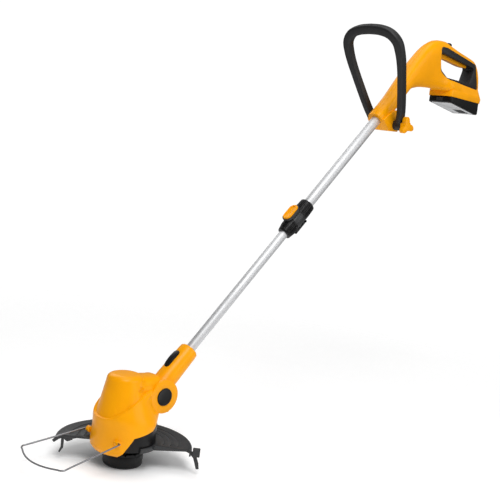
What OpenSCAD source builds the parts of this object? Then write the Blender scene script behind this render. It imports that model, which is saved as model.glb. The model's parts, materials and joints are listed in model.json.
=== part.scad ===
// Cordless string trimmer: battery, D-shaped rear handle, adjustable front loop,
// telescopic shaft, tilting motor head, guard, edge guide and line spool.
// The origin is on the spool's axis, on the ground. The head points to -X and the rear
// handle to +X. The user's left side is -Y, and +Z is up.

/* [Working position] */
// Angle between the shaft and the ground
tube_angle = 46.3; // [42:0.1:50]
// Angle between the shaft and the level of the rear handle
handle_bend = 46.3; // [42:0.1:50]
// Distance of the tilt pivot behind the spool's axis
pivot_x = 66; // [64:1:70]
// Height of the tilt pivot above the ground
pivot_z = 144; // [142:1:150]

/* [Telescopic shaft] */
// Outer diameter of the lower tube
lower_tube_d = 21; // [19:0.5:22]
// Outer diameter of the upper tube
upper_tube_d = 24; // [23:0.5:26]
// Distance from the pivot to the clamp's lower end
clamp_start = 473; // [440:1:520]
// Length of the telescopic clamp
clamp_len = 96; // [90:1:110]
// Distance from the pivot to the mouth of the rear handle
handle_start = 866; // [840:1:920]
// How far the lower tube reaches into the upper tube
tube_overlap = 150; // [120:1:180]

/* [Tilt sleeve] */
// Length of the sleeve above the pivot
sleeve_len = 121; // [110:1:140]
// Radius of the sleeve at its top
sleeve_top_r = 20.5; // [19:0.5:22]
// Radius of the sleeve next to the pivot
sleeve_low_r = 23.5; // [22:0.5:24]
// Radius of the knuckle round the pivot
knuckle_r = 30; // [28:0.5:32]
// Radius of the pivot pin
pivot_pin_r = 5; // [4:0.25:6]
// Radius of the round ears on the head
hub_r = 35; // [33:0.5:38]
// Half the width of the head at the ears
hub_half_w = 34; // [32:0.5:38]
// Radius of the caps over the pivot
pivot_cap_r = 18.7; // [16:0.1:20]

/* [Motor head] */
// Radius of the head's skirt at its widest
skirt_r = 71.5; // [69:0.5:74]
// Height of the skirt's lower edge above the ground
skirt_low_z = 34; // [32:1:38]
// Wall of the head's shells
shell_wall = 2.6; // [2:0.1:3.2]
// Height of the skirt's rim at the front
rim_front_z = 106; // [102:1:110]
// Rise of the skirt's rim from the front to the pivot
rim_rise = 54; // [50:1:58]
// Radius of the motor cover at its rim
cover_r = 53; // [51:0.5:56]
// Radius of the motor cover below its rounded top
cover_top_r = 38; // [36:0.5:40]
// Height of the motor cover's top
cover_top_z = 193; // [191:1:198]
// Radius of the motor can
motor_r = 24; // [20:0.5:26]
// Radius of the motor shaft
motor_shaft_r = 4; // [3:0.25:5]

/* [Spool] */
// Radius of the spool cap
spool_r = 41; // [38:0.5:43]
// Height of the spool cap
spool_cap_h = 25; // [22:0.5:26]
// Diameter of the cutting line
line_d = 1.6; // [1.2:0.1:2]

/* [Guard] */
// Radius of the guard's rim
guard_r = 141; // [130:1:150]
// Height of the guard's rim above the ground
guard_rim_z = 50; // [48:1:52]
// Thickness of the guard
guard_t = 2.8; // [2.4:0.1:3.4]
// Direction that the middle of the guard faces, from the rear towards the user's right
guard_turn = 46; // [30:1:50]
// How far the guard reaches in front of the spool's axis
guard_cut = 20; // [10:1:30]
// Length of the legs at the guard's ends
guard_leg_h = 34; // [28:1:38]

/* [Edge guide] */
// Diameter of the guide's wire
wire_d = 3.5; // [2.5:0.1:4]
// Reach of the guide in front of its hinge
wire_reach = 144; // [120:1:150]
// Half the width of the guide at its front
wire_half_w = 76; // [74:1:85]

/* [Front loop] */
// Height of the loop above its pivot
loop_h = 242; // [225:1:265]
// Half the width of the loop at its widest
loop_half_w = 79; // [72:1:84]
// Thickness of the loop across its plane
loop_t = 20; // [18:1:24]
// Lean of the loop towards the head
loop_lean = 27; // [15:0.5:35]
// Radius of the loop's pivot discs
loop_hub_r = 12.5; // [11:0.5:14]

/* [Rear handle] */
// Half the width of the neck at the shaft
neck_half_w = 20.5; // [18:0.5:22]
// Half the width of the grip
grip_half_w = 20; // [18:0.5:22]
// Half the width of the foot that holds the battery
foot_half_w = 37; // [35:0.5:38]
// Half the width of the grip liner
liner_half_w = 18.5; // [17:0.5:20]

/* [Battery] */
// Length of the battery at its seam
battery_len = 130; // [120:1:134]
// Width of the battery
battery_w = 73; // [70:0.5:75]

/* [Hidden] */
$fn = 48;

yellow = [0.98, 0.64, 0.03];
black = [0.09, 0.09, 0.1];
dark_grey = [0.25, 0.25, 0.27];
silver = [0.8, 0.8, 0.82];
steel = [0.62, 0.62, 0.64];
pale_grey = [0.72, 0.73, 0.75];

seat = 0.05;      // clearance of fixed pieces in their seats
running = 0.06;   // radial clearance of a pin or shaft that turns in its bore
free = 0.35;      // clearance between pieces that move past each other
cut = 1;          // how far a cutter stands past the face that it cuts

// ---- shared functions and shapes ----

function lerp(a, b, t) = a + (b - a) * t;
function smooth(t) = t <= 0 ? 0 : t >= 1 ? 1 : t * t * (3 - 2 * t);
function power(value, exponent) = sign(value) * pow(abs(value), exponent);
function spline_point(p, i, t) =
    let (n = len(p) - 1, a = p[max(i - 1, 0)], b = p[i], c = p[min(i + 1, n)], d = p[min(i + 2, n)])
    0.5 * (2 * b + (c - a) * t + (2 * a - 5 * b + 4 * c - d) * t * t + (3 * b - a - 3 * c + d) * t * t * t);
function spline(p, steps) = [
    for (i = [0:len(p) - 2]) for (k = [0:steps - 1]) spline_point(p, i, k / steps),
    p[len(p) - 1]
];

// A solid through rings of points. Each ring runs anticlockwise, seen from the last ring.
module loft(rings) {
    count = len(rings[0]);
    last = (len(rings) - 1) * count;
    sides = [for (i = [0:len(rings) - 2]) for (j = [0:count - 1])
        let (a = i * count + j, b = i * count + (j + 1) % count)
        each [[a, b + count, b], [a, a + count, b + count]]];
    start_face = [for (j = [0:count - 1]) j];
    end_face = [for (j = [count - 1:-1:0]) last + j];
    polyhedron([for (ring = rings) each ring], concat(sides, [start_face, end_face]), convexity = 8);
}

module ring_of(outer_r, inner_r, height) {
    difference() {
        cylinder(r = outer_r, h = height);
        translate([0, 0, -cut]) cylinder(r = inner_r, h = height + 2 * cut);
    }
}

module rounded_box(size, r) {
    linear_extrude(size[2]) translate([-size[0] / 2, -size[1] / 2]) rounded_rectangle(size, r);
}

module rounded_rectangle(size, r) {
    corners = [[size[0] - r, size[1] - r, 0], [r, size[1] - r, 90], [r, r, 180], [size[0] - r, r, 270]];
    polygon([for (c = corners) for (k = [0:4]) let (a = c[2] + k * 22.5)
        [c[0], c[1]] + r * [cos(a), sin(a)]]);
}

module stadium(length, width) {
    translate([-(length - width) / 2, -width / 2]) square([length - width, width]);
    for (side = [-1, 1]) translate([side * (length - width) / 2, 0]) circle(d = width);
}

module across(y0, y1) {
    translate([0, y0, 0]) rotate([-90, 0, 0]) mirror([0, 1, 0]) linear_extrude(y1 - y0) children();
}

module pin_across(r, y0, y1) {
    translate([0, y0, 0]) rotate([-90, 0, 0]) cylinder(r = r, h = y1 - y0);
}

module coil(radius, wire_r, height, turns) {
    steps = turns * 12;
    loft([for (i = [0:steps]) let (a = i * 30, rise = wire_r + (height - 2 * wire_r) * i / steps)
        [for (k = [0:5]) let (b = -k * 60, out = radius + wire_r * cos(b))
            [out * cos(a), out * sin(a), rise + wire_r * sin(b)]]]);
}

// ---- places ----

module along_tube(distance) {
    translate([pivot_x, 0, pivot_z]) rotate([0, 90 - tube_angle, 0]) translate([0, 0, distance]) children();
}

// The rear handle's own frame: its origin is the mouth's centre and its X runs level to the rear.
module at_handle() {
    along_tube(handle_start) rotate([0, handle_bend - 90, 0]) children();
}

// ---- motor head ----

ledge_t = 2.4;
tail_x = pivot_x + 16;
tail_w = hub_half_w - 1;
head_top_z = pivot_z + hub_r - 1;
// Levels of the skirt: height, change of radius, centre of the round part and start of the tail.
skirt_levels = [[skirt_low_z, -9, 0, pivot_x + 12], [skirt_low_z + 7, -3, 0, pivot_x + 12],
    [skirt_low_z + 17, 0, 0, pivot_x + 10], [skirt_low_z + 50, -2.5, 0, pivot_x + 8],
    [rim_front_z, -6.5, -6, pivot_x - 6], [rim_front_z + 16, -12.5, -10, pivot_x - 20],
    [pivot_z, -20.5, -12, pivot_x - 31], [head_top_z, -28, -13, pivot_x - 33]];
// The outline at one level: a round part that runs straight into a narrower tail.
function head_outline(level, inset) =
    let (r = skirt_r + level[1] - inset, centre = level[2], w = tail_w - inset, waist = level[3] - centre,
        start = atan2(w, waist) + acos(r / norm([waist, w])), steps = 30)
    concat([[tail_x - inset, w], [level[3], w]],
        [for (i = [0:steps]) let (a = start + (360 - 2 * start) * i / steps)
            [centre + r * cos(a), r * sin(a)]],
        [[level[3], -w], [tail_x - inset, -w]]);

module head_solid(inset) {
    loft([for (level = spline(skirt_levels, 2))
        [for (p = head_outline(level, inset)) [p[0], p[1], level[0]]]]);
}

// Everything above the skirt's curved rim, raised by some amount.
module above_rim(lift) {
    rim = [[-110, -0.12], [-68, 0], [-52, 0.19], [-32, 0.48], [-15, 0.68], [2, 0.82], [20, 0.93],
        [pivot_x - 26, 1], [pivot_x + 60, 1]];
    across(-100, 100) polygon(concat(
        [for (p = spline(rim, 3)) [p[0], rim_front_z + rim_rise * p[1] + lift]],
        [[pivot_x + 60, 300], [-110, 300]]));
}

// Room for the knuckle and for the sleeve at every tilt; the cover's roof stays over the knuckle.
steepest = tube_angle + 16;
module slot_for_sleeve() {
    slot_half = max(sleeve_low_r, sleeve_top_r) + 2 * free;
    edge = [-sin(steepest), cos(steepest)] * slot_half;
    translate([pivot_x, 0, pivot_z]) {
        pin_across(knuckle_r + 2 * free, -slot_half, slot_half);
        across(-slot_half, slot_half) polygon([[-knuckle_r - 2, skirt_low_z - pivot_z], [-knuckle_r - 2, 0],
            edge, edge + 90 * [cos(steepest), sin(steepest)], [120, 90], [120, skirt_low_z - pivot_z]]);
    }
}

wire_x = -55;
wire_z = 66;
wire_hinge_y = 55.5;
tab_y = wire_hinge_y - wire_d / 2 - 0.8;
tab_low_y = 42;
boss_near_r = 5;
boss_far_r = 6.5;
guard_mount_top = 90;
guard_mount_r = skirt_r - shell_wall - 5;
plate_t = 3;
flange_z = guard_mount_top + plate_t;
flange_t = 3;

module head_skirt() {
    lower_cut = [[-46, 0], [-46, 36], [-40, 52], [-25, 76], [20, 87], [pivot_x - 9, pivot_z - hub_r + 1],
        [pivot_x + 60, pivot_z - hub_r + 1], [pivot_x + 60, 0]];
    color(yellow) difference() {
        union() {
            difference() {
                head_solid(0);
                above_rim(0);
                across(-100, 100) polygon(lower_cut);
                difference() {
                    intersection() {
                        head_solid_inner();
                        translate([-200, -100, 0]) cube([200 + pivot_x - hub_r + 6, 200, 250]);
                    }
                    translate([0, 0, flange_z]) ring_of(2 * skirt_r, guard_mount_r - 12, flange_t);
                }
            }
            translate([pivot_x, 0, pivot_z]) pin_across(hub_r, -hub_half_w, hub_half_w);
            for (side = [-1, 1]) translate([wire_x, side > 0 ? tab_low_y : -tab_y, wire_z])
                pin_across(side > 0 ? boss_far_r : boss_near_r, 0, tab_y - tab_low_y);
        }
        head_screw_holes();
        for (side = [-1, 1]) translate([pivot_x, 0, pivot_z])
            pin_across(hub_r, side > 0 ? hub_half_w : -2 * hub_half_w,
                side > 0 ? 2 * hub_half_w : -hub_half_w);
        intersection() {
            guard_side(2);
            ring_of(2 * skirt_r, guard_mount_r - 2, guard_top(0) + free);
        }
        slot_for_sleeve();
        translate([pivot_x, 0, pivot_z]) pin_across(pivot_pin_r + seat, -hub_half_w - cut, hub_half_w + cut);
        translate([wire_x, 0, wire_z])
            pin_across(wire_d / 2 + running, -wire_hinge_y - cut, wire_hinge_y + cut);
        for (side = [-1, 1]) translate([pivot_x, side * (hub_half_w - 1.5), pivot_z])
            pin_across(pivot_cap_r + seat, side > 0 ? 0 : -5, side > 0 ? 5 : 0);
    }
}

module head_solid_inner() {
    lowest = skirt_levels[0];
    highest = skirt_levels[len(skirt_levels) - 1];
    levels = concat([[lowest[0] - 3, lowest[1], lowest[2], lowest[3]]],
        [for (i = [1:len(skirt_levels) - 1]) skirt_levels[i]],
        [[highest[0] + 20, highest[1], highest[2], highest[3]]]);
    loft([for (level = spline(levels, 2))
        [for (p = head_outline(level, shell_wall)) [p[0], p[1], level[0]]]]);
}

// The cover's dome leans forward of the spool's axis; its saddle runs back between the ears.
cover_x = -14;
vent_z = 163;
vent_w = 1.5;
cover_shoulder = 12;
function dome_r(z) = cover_r
    + (cover_top_r - cover_r) * (z - rim_front_z) / (cover_top_z - cover_shoulder - rim_front_z);
module dome(inset, floor_z) {
    top = cover_top_z - inset;
    shoulder = cover_shoulder - inset / 2;
    corner_r = dome_r(cover_top_z - cover_shoulder) - inset;
    translate([cover_x, 0, 0]) rotate_extrude()
        polygon(concat([[0, floor_z], [dome_r(floor_z) - inset, floor_z]],
            [for (a = [0:15:90])
                [corner_r - shoulder * 1.2 * (1 - cos(a)), top - shoulder + shoulder * sin(a)]],
            [[0, top]]));
}
function saddle_ring(x, half_w, low, top) = [for (k = [0:12]) let (a = 180 * k / 12)
    [x, half_w * power(cos(a), 0.55),
        k == 0 || k == 12 ? low : low + (top - low) * (0.35 + 0.65 * power(sin(a), 0.5))]];
module saddle() {
    loft([for (k = [0:5]) let (t = k / 5, x = lerp(-10, pivot_x + 2, t))
        saddle_ring(x, lerp(cover_top_r - 3, hub_half_w - 4.5, t), rim_front_z + 10,
            lerp(cover_top_z - 4, head_top_z + 7, smooth(t)))]);
}

module motor_cover() {
    color(yellow) difference() {
        union() {
            intersection() {
                union() {
                    dome(0, rim_front_z - 30);
                    saddle();
                }
                above_rim(0.02);
            }
            intersection() {
                head_solid(0);
                difference() {
                    above_rim(0.02);
                    above_rim(ledge_t);
                }
                translate([-200, -100, 0]) cube([200 + pivot_x - hub_r + 4, 200, 250]);
            }
        }
        dome(shell_wall, rim_front_z - 40);
        slot_for_sleeve();
        translate([pivot_x, 0, pivot_z]) pin_across(hub_r + 0.1, -hub_half_w - 5, hub_half_w + 5);
        for (side = [-1, 1]) for (k = [0:4])
            translate([cover_x, 0, 0]) rotate([0, 0, side * (58 + k * 4.5)])
                translate([dome_r(vent_z), 0, vent_z + k * 1.4]) rotate([side * 42, -11, 0])
                    translate([-6, -vent_w / 2, -7]) cube([12, vent_w, 14]);
    }
}

bearing_r = 11;
bearing_w = 7;
module guard_mount() {
    shelf_z = guard_rim_z + 12;
    low_z = guard_rim_z - 6;
    opening = spool_r + 2;
    color(black) difference() {
        union() {
            difference() {
                translate([0, 0, low_z]) cylinder(r = guard_mount_r, h = guard_mount_top - low_z);
                translate([0, 0, low_z - cut]) cylinder(r = opening, h = shelf_z - low_z + cut);
                translate([0, 0, shelf_z + 3]) ring_of(guard_mount_r - 3, bearing_r + 4, guard_mount_top);
            }
            at_head_screws() translate([0, 0, shelf_z + 2])
                cylinder(r = 4, h = guard_mount_top - shelf_z - 2);
        }
        head_screw_holes();
        translate([0, 0, shelf_z - cut]) cylinder(r = motor_shaft_r + 1.5, h = guard_mount_top);
        translate([0, 0, shelf_z + 4]) cylinder(r = bearing_r + seat, h = guard_mount_top);
    }
}

// ---- guard ----

guard_in_r = guard_mount_r + seat;
module turned_guard() {
    rotate([0, 0, guard_turn]) children();
}
// The side of the guard's straight edge that the guard covers.
module guard_side(extra) {
    turned_guard() translate([-guard_cut - extra, -200, -cut]) cube([400, 400, 300]);
}
// The guard's section: nearly flat, ribs moulded along it, and a rim that turns down.
function guard_top(r) = guard_rim_z + 4 - 2 * smooth((r - 70) / (guard_r - 78));
rim_fillet = 8;
guard_end_x = sqrt(pow(guard_r, 2) - pow(guard_cut, 2));
rib_t = 3;
rib_toe = 1.562338;   // length of the near rib's level foot at the mount
cutter_t = 1.2;
cutter_screw_x = guard_end_x - 26;
cutter_screw_z = guard_rim_z - 4.2;
module guard() {
    ribs = [82, 97, 112];
    mid_r = guard_r - rim_fillet;
    mid_z = guard_top(mid_r) - rim_fillet;
    outer = [for (k = [0:5]) let (a = k * 18) [mid_r + rim_fillet * sin(a), mid_z + rim_fillet * cos(a)]];
    slope = [for (k = [0:5]) let (r = guard_in_r + (guard_r - 12 - guard_in_r) * k / 5) [r, guard_top(r)]];
    inner = [for (k = [5:-1:0]) let (a = k * 18)
        [mid_r + (rim_fillet - guard_t) * sin(a), mid_z + (rim_fillet - guard_t) * cos(a)]];
    below = [for (k = [5:-1:0]) [slope[k][0], slope[k][1] - guard_t]];
    rim_low = guard_rim_z - 12;
    color(dark_grey) union() {
        intersection() {
            rotate_extrude($fn = 96) polygon(concat(slope, outer,
                [[guard_r, rim_low], [guard_r - guard_t, rim_low]], inner, below));
            guard_side(0);
        }
        for (r = ribs) intersection() {
            rotate_extrude($fn = 96) translate([r, guard_top(r) - 1])
                polygon([[-1.6, 0], [-0.8, 2], [0.8, 2], [1.6, 0]]);
            guard_side(-9);
        }
        turned_guard() translate([-guard_cut, 0, 0]) rotate([0, 0, -90]) {
            across(0, rib_t) polygon(near_rib());
            difference() {
                across(0, rib_t) mirror([1, 0]) polygon(far_rib());
                translate([-cutter_screw_x, 0, cutter_screw_z]) pin_across(1.6, -rib_t, 2 * rib_t);
            }
            translate([guard_end_x + 4, -6, guard_rim_z - 10]) cube([15, 12, 16.5]);
        }
        intersection() {
            translate([0, 0, guard_rim_z - 7]) ring_of(guard_in_r + 4, guard_in_r + 0.1, 10);
            translate([-8, -100, 0]) cube(100);
        }
    }
}
// A rib closes each end of the guard's straight edge; both turn down into a leg.
// Points are places along the edge from the guard's corner, and heights from its rim.
rib_start = sqrt(pow(guard_in_r + free, 2) - pow(guard_cut - rib_t, 2)) - guard_end_x;
function near_rib() = let (leg = guard_leg_h) [for (p = [[rib_start, 3.5], [-29, 2.5], [-9, 1.5],
    [-3, 0.5], [3, -1], [9, -6], [13.5, -0.38 * leg], [18, -0.71 * leg], [20, -1.06 * leg],
    [14, -1.09 * leg], [10, -0.74 * leg], [6, -0.41 * leg], [-1, -6], [-10, -2.5],
    [rib_start + rib_toe, -8], [rib_start, -8]]) [guard_end_x + p[0], guard_rim_z + p[1]]];
function far_rib() = let (leg = guard_leg_h) [for (p = [[rib_start, 3.5], [-29, 2.5], [-9, 1.5], [-3, -2],
    [5.5, -11.5], [1, -15.5], [-8, -8], [-13, -5.5], [-13.5, -0.68 * leg], [-9.5, -0.98 * leg],
    [-12, -1.06 * leg], [-18.5, -0.74 * leg], [-19, -5], [-20, -7], [-24, -9.5], [-30, -9.5],
    [-37, -4], [-45, -1.5], [rib_start, -0.5]]) [guard_end_x + p[0], guard_rim_z + p[1]]];

// The cutter stands behind the far rib.
module line_cutter() {
    plate = [[-36, -1], [-20, -1], [-20, -9], [-25, -12], [-36, -7]];
    color(steel) turned_guard() translate([-guard_cut, 0, 0]) rotate([0, 0, -90]) difference() {
        across(rib_t + seat, rib_t + cutter_t)
            polygon([for (p = plate) [-guard_end_x - p[0], guard_rim_z + p[1]]]);
        translate([-cutter_screw_x, 0, cutter_screw_z]) pin_across(1.6, 0, 2 * rib_t);
    }
}

module cutter_screw() {
    color(steel) turned_guard() translate([-guard_cut, 0, 0]) rotate([0, 0, -90])
        translate([-cutter_screw_x, 0, cutter_screw_z]) {
            pin_across(1.6 - seat, 0.2, rib_t + cutter_t + 0.1);
            difference() {
                pin_across(2.8, rib_t + cutter_t, rib_t + cutter_t + 2);
                for (a = [0, 90]) rotate([0, a, 0]) translate([-2, rib_t + cutter_t + 1, -0.4])
                    cube([4, 1.5, 0.8]);
            }
        }
}

// ---- motor ----

motor_low_z = guard_mount_top + plate_t;
motor_high_z = motor_low_z + 62;
module motor_plate() {
    color(black) difference() {
        translate([0, 0, guard_mount_top]) difference() {
            cylinder(r = guard_mount_r - 1, h = plate_t);
            translate([0, 0, -cut]) cylinder(r = motor_shaft_r + 2, h = 5);
            for (a = [45:90:315]) rotate([0, 0, a]) translate([motor_r + 12, 0, -cut])
                cylinder(r = 6, h = 5);
        }
        head_screw_holes();
    }
}
module motor_can() {
    color(steel) translate([0, 0, motor_low_z]) difference() {
        union() {
            cylinder(r = motor_r, h = motor_high_z - motor_low_z);
            translate([0, 0, 12]) cylinder(r = motor_r + 1.6, h = 34);
        }
        translate([0, 0, 3]) cylinder(r = motor_r - 1.5, h = motor_high_z);
        translate([0, 0, -cut]) cylinder(r = motor_shaft_r + 1.5, h = 6);
    }
}
module motor_end_cap() {
    color(black) translate([0, 0, motor_high_z]) difference() {
        union() {
            cylinder(r = motor_r, h = 3);
            translate([0, 0, -5]) cylinder(r = motor_r - 1.5 - seat, h = 6);
            translate([0, 0, 3]) cylinder(r = 9, h = 5);
        }
        translate([0, 0, -6]) cylinder(r = 5.5 + seat, h = 9);
        for (a = [0, 180]) rotate([0, 0, a]) translate([14, -2, -7]) cube([5, 4, 12]);
    }
}
module motor_bearings() {
    color(silver) {
        translate([0, 0, guard_rim_z + 16]) ring_of(bearing_r, motor_shaft_r + running, bearing_w);
        translate([0, 0, motor_high_z - 4]) ring_of(5.5, motor_shaft_r - 1 + running, 6.8);
    }
}
module motor_armature() {
    color([0.72, 0.42, 0.2]) translate([0, 0, motor_low_z + 8]) difference() {
        union() {
            cylinder(r = motor_r - 6, h = 32);
            translate([0, 0, 32]) cylinder(r = 9, h = 9);
        }
        translate([0, 0, -cut]) cylinder(r = motor_shaft_r, h = 50);
        for (a = [0:72:288]) rotate([0, 0, a]) translate([motor_r - 10, -1.5, -cut]) cube([8, 3, 34]);
    }
}
module motor_shaft() {
    color(steel) translate([0, 0, spool_cap_h + 4]) {
        cylinder(r = motor_shaft_r, h = motor_high_z - spool_cap_h - 12);
        cylinder(r = motor_shaft_r - 1, h = motor_high_z - spool_cap_h - 1.5);
    }
}

// ---- spool ----

reel_r = spool_r - 7;
eyelet_z = spool_cap_h - 7;
eyelet_turn = -38;
module drive_cup() {
    color(black) translate([0, 0, spool_cap_h]) difference() {
        union() {
            cylinder(r = spool_r - 0.6, h = 6);
            translate([0, 0, 6]) cylinder(r = spool_r - 14, h = 4);
            translate([0, 0, -15]) cylinder(r = 8, h = 16);
        }
        translate([0, 0, 4]) cylinder(r = motor_shaft_r, h = 10);
        for (a = [0:30:330]) rotate([0, 0, a]) translate([spool_r - 10, -1.5, 3]) cube([12, 3, 5]);
    }
}
module spool_cap() {
    edge = 7;
    color(black) difference() {
        rotate_extrude() polygon(concat([[0, 0]],
            [for (a = [0:15:90]) [spool_r - edge + edge * sin(a), edge - edge * cos(a)]],
            [[spool_r, spool_cap_h], [spool_r - 2.6, spool_cap_h], [spool_r - 2.6, 6],
            [spool_r - 6, 3], [0, 3]]));
        for (side = [0, 180]) rotate([0, 0, eyelet_turn + side])
            translate([spool_r - 6, 0, eyelet_z]) rotate([0, 90, 0]) cylinder(r = 3.5, h = 12);
    }
}
module spool_reel() {
    color(dark_grey) translate([0, 0, 3]) difference() {
        union() {
            cylinder(r = reel_r, h = 1.6);
            translate([0, 0, 16]) cylinder(r = reel_r, h = 1.6);
            cylinder(r = 15, h = 17);
        }
        translate([0, 0, 6]) cylinder(r = 12, h = 20);
        translate([0, 0, -cut]) cylinder(r = 5, h = 20);
        for (a = [0, 180]) rotate([0, 0, eyelet_turn + a]) translate([reel_r - 4, -1, 15]) cube([6, 2, 4]);
    }
}
module cutting_line() {
    layers = floor((reel_r - 17) / line_d) - 1;
    color([0.85, 0.25, 0.12]) translate([0, 0, 4.8]) rotate_extrude() translate([15.2, 0]) polygon(concat(
        [[0, 0], [layers * line_d, 0]],
        [for (k = [0:15]) [layers * line_d + (k % 2) * line_d * 0.4, 0.3 + k * 0.85]],
        [[layers * line_d, 13.6], [0, 13.6]]));
}
module spool_spring() {
    color(steel) translate([0, 0, 9.05]) coil(10.2, 0.7, spool_cap_h - 9.1, 4);
}
module line_eyelets() {
    color(silver) for (side = [0, 180]) rotate([0, 0, eyelet_turn + side])
        translate([spool_r - 3.2, 0, eyelet_z]) rotate([0, 90, 0]) difference() {
            union() {
                cylinder(r = 3.5 - seat, h = 3.2);
                translate([0, 0, 3.2]) cylinder(r = 4.2, h = 0.8);
            }
            translate([0, 0, -cut]) cylinder(r = 1.6, h = 8);
        }
}

// ---- tilt pivot ----

module pivot_pin() {
    color(steel) translate([pivot_x, 0, pivot_z]) pin_across(pivot_pin_r, -hub_half_w + 2, hub_half_w - 2);
}
module pivot_cap(side) {
    color(black) translate([pivot_x, 0, pivot_z]) rotate([side > 0 ? -90 : 90, 0, 0])
        translate([0, 0, hub_half_w - 1.45]) rotate_extrude() polygon(concat([[0, 0], [pivot_cap_r, 0]],
            [for (a = [0:30:90]) [pivot_cap_r - 1.6 + 1.6 * cos(a), 2 + 1.2 * sin(a)]],
            [[pivot_cap_r - 3, 2.4], [0, 2.8]]));
}
module at_head_screws() {
    for (a = [60:120:300]) rotate([0, 0, a]) translate([guard_mount_r - 8, 0, 0]) children();
}
module head_screw_holes() {
    at_head_screws() translate([0, 0, guard_mount_top - 14]) cylinder(r = 1.7, h = 40);
}
module head_screws() {
    color(steel) at_head_screws() {
        translate([0, 0, flange_z + flange_t]) cylinder(r = 3.5, h = 2.4);
        translate([0, 0, guard_mount_top - 12])
            cylinder(r = 1.7 - seat, h = flange_z + flange_t + 12.1 - guard_mount_top);
    }
}

// ---- edge guide ----

module edge_guide() {
    corner_r = 11;
    bow = 17;
    drop = 27;
    slope = atan2(drop, wire_reach);
    steps = 6;
    spread = wire_half_w - wire_hinge_y - 3;
    arm_end = wire_reach / cos(slope);
    side_path = [for (k = [0:4]) [arm_end * k / 5 * 0.99, wire_hinge_y + 3 + spread * k / 5]];
    corner = [for (k = [0:steps]) let (a = 90 * k / steps)
        [arm_end - corner_r + corner_r * sin(a), wire_half_w - corner_r + corner_r * cos(a)]];
    front = [for (k = [1:5]) let (t = k / 5, y = (wire_half_w - corner_r) * (1 - t))
        [arm_end + bow * (1 - pow(1 - t, 2)), y]];
    half = concat(side_path, corner, front);
    path = concat(half, [for (k = [len(half) - 2:-1:0]) [half[k][0], -half[k][1]]]);
    color(steel) translate([wire_x, 0, wire_z]) {
        rotate([0, -slope, 0]) mirror([1, 0, 0]) loft(wire_rings(path, wire_d / 2, 8));
        for (side = [-1, 1]) translate([0, side > 0 ? 47 : -wire_hinge_y - 3, 0])
            pin_across(wire_d / 2, 0, wire_hinge_y + 3 - 47);
        for (side = [-1, 1]) translate([0, side * (wire_hinge_y + 3), 0])
            sphere(d = wire_d * 1.06, $fn = 20);
    }
}
function wire_rings(path, r, sides) = [for (i = [0:len(path) - 1])
    let (a = path[max(i - 1, 0)], b = path[min(i + 1, len(path) - 1)], way = atan2(b[1] - a[1], b[0] - a[0]))
    [for (k = [0:sides - 1]) let (t = 360 * k / sides)
        [path[i][0] - r * cos(t) * sin(way), path[i][1] + r * cos(t) * cos(way), r * sin(t)]]];

// ---- tilt sleeve and lower tube ----

sleeve_start = 24;
button_s = sleeve_len - 44.5;
button_len = 44;
button_w = 13;
detent_r = 22.8;
detent_t = 4;
rod_r = 2.3;
rod_thin_r = 1.2;
rod_s = 19.6;
rod_shoulder_s = 38;
rod_bore_end = 47.5;
module along_rod(s) {
    along_tube(s) translate([-lower_tube_d / 2 - 4.4, 0, 0]) children();
}
module lower_sleeve() {
    color(yellow) difference() {
        union() {
            translate([pivot_x, 0, pivot_z]) pin_across(knuckle_r, -sleeve_low_r, sleeve_low_r);
            along_tube(0) rotate_extrude() polygon([
                [0, 6], [sleeve_low_r - 0.4, 6], [sleeve_low_r - 0.4, 40],
                [sleeve_top_r + 0.8, sleeve_len - 12], [sleeve_top_r, sleeve_len - 3],
                [sleeve_top_r - 3, sleeve_len], [0, sleeve_len]]);
        }
        translate([pivot_x, 0, pivot_z]) pin_across(pivot_pin_r + running, -40, 40);
        along_tube(sleeve_start) cylinder(r = lower_tube_d / 2 + seat, h = sleeve_len);
        along_tube(button_s) rotate([0, -90, 0]) translate([0, 0, lower_tube_d / 2 + 1]) linear_extrude(30)
            stadium(button_len + 2 * free, button_w + 2 * free);
        translate([pivot_x, 0, pivot_z])
            pin_across(detent_r + 0.5, -detent_t / 2 - free, detent_t / 2 + free);
        along_rod(rod_s - 8) cylinder(r = rod_r + running, h = rod_bore_end - rod_s + 8);
        along_rod(rod_s) cylinder(r = rod_thin_r + running, h = button_s - button_len / 2 - rod_s);
    }
}
module lower_tube() {
    color(silver) along_tube(sleeve_start + 0.3)
        ring_of(lower_tube_d / 2, lower_tube_d / 2 - 1.2, clamp_start - sleeve_start + tube_overlap);
}
button_rise = 4.2;
module angle_button() {
    base = lower_tube_d / 2 + 6;
    top = sleeve_top_r + button_rise + 1.7;
    color(black) along_tube(button_s) rotate([0, -90, 0]) intersection() {
        translate([0, 0, base]) linear_extrude(top - base + 1) stadium(button_len, button_w);
        translate([0, 0, top - 80]) rotate([90, 0, 0]) cylinder(r = 80, h = 40, center = true, $fn = 160);
    }
}
module angle_spring() {
    color(steel) along_tube(button_s + 10) rotate([0, -90, 0]) translate([0, 0, lower_tube_d / 2 + 1.05])
        coil(3.2, 0.45, 4.9, 3);
}
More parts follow.
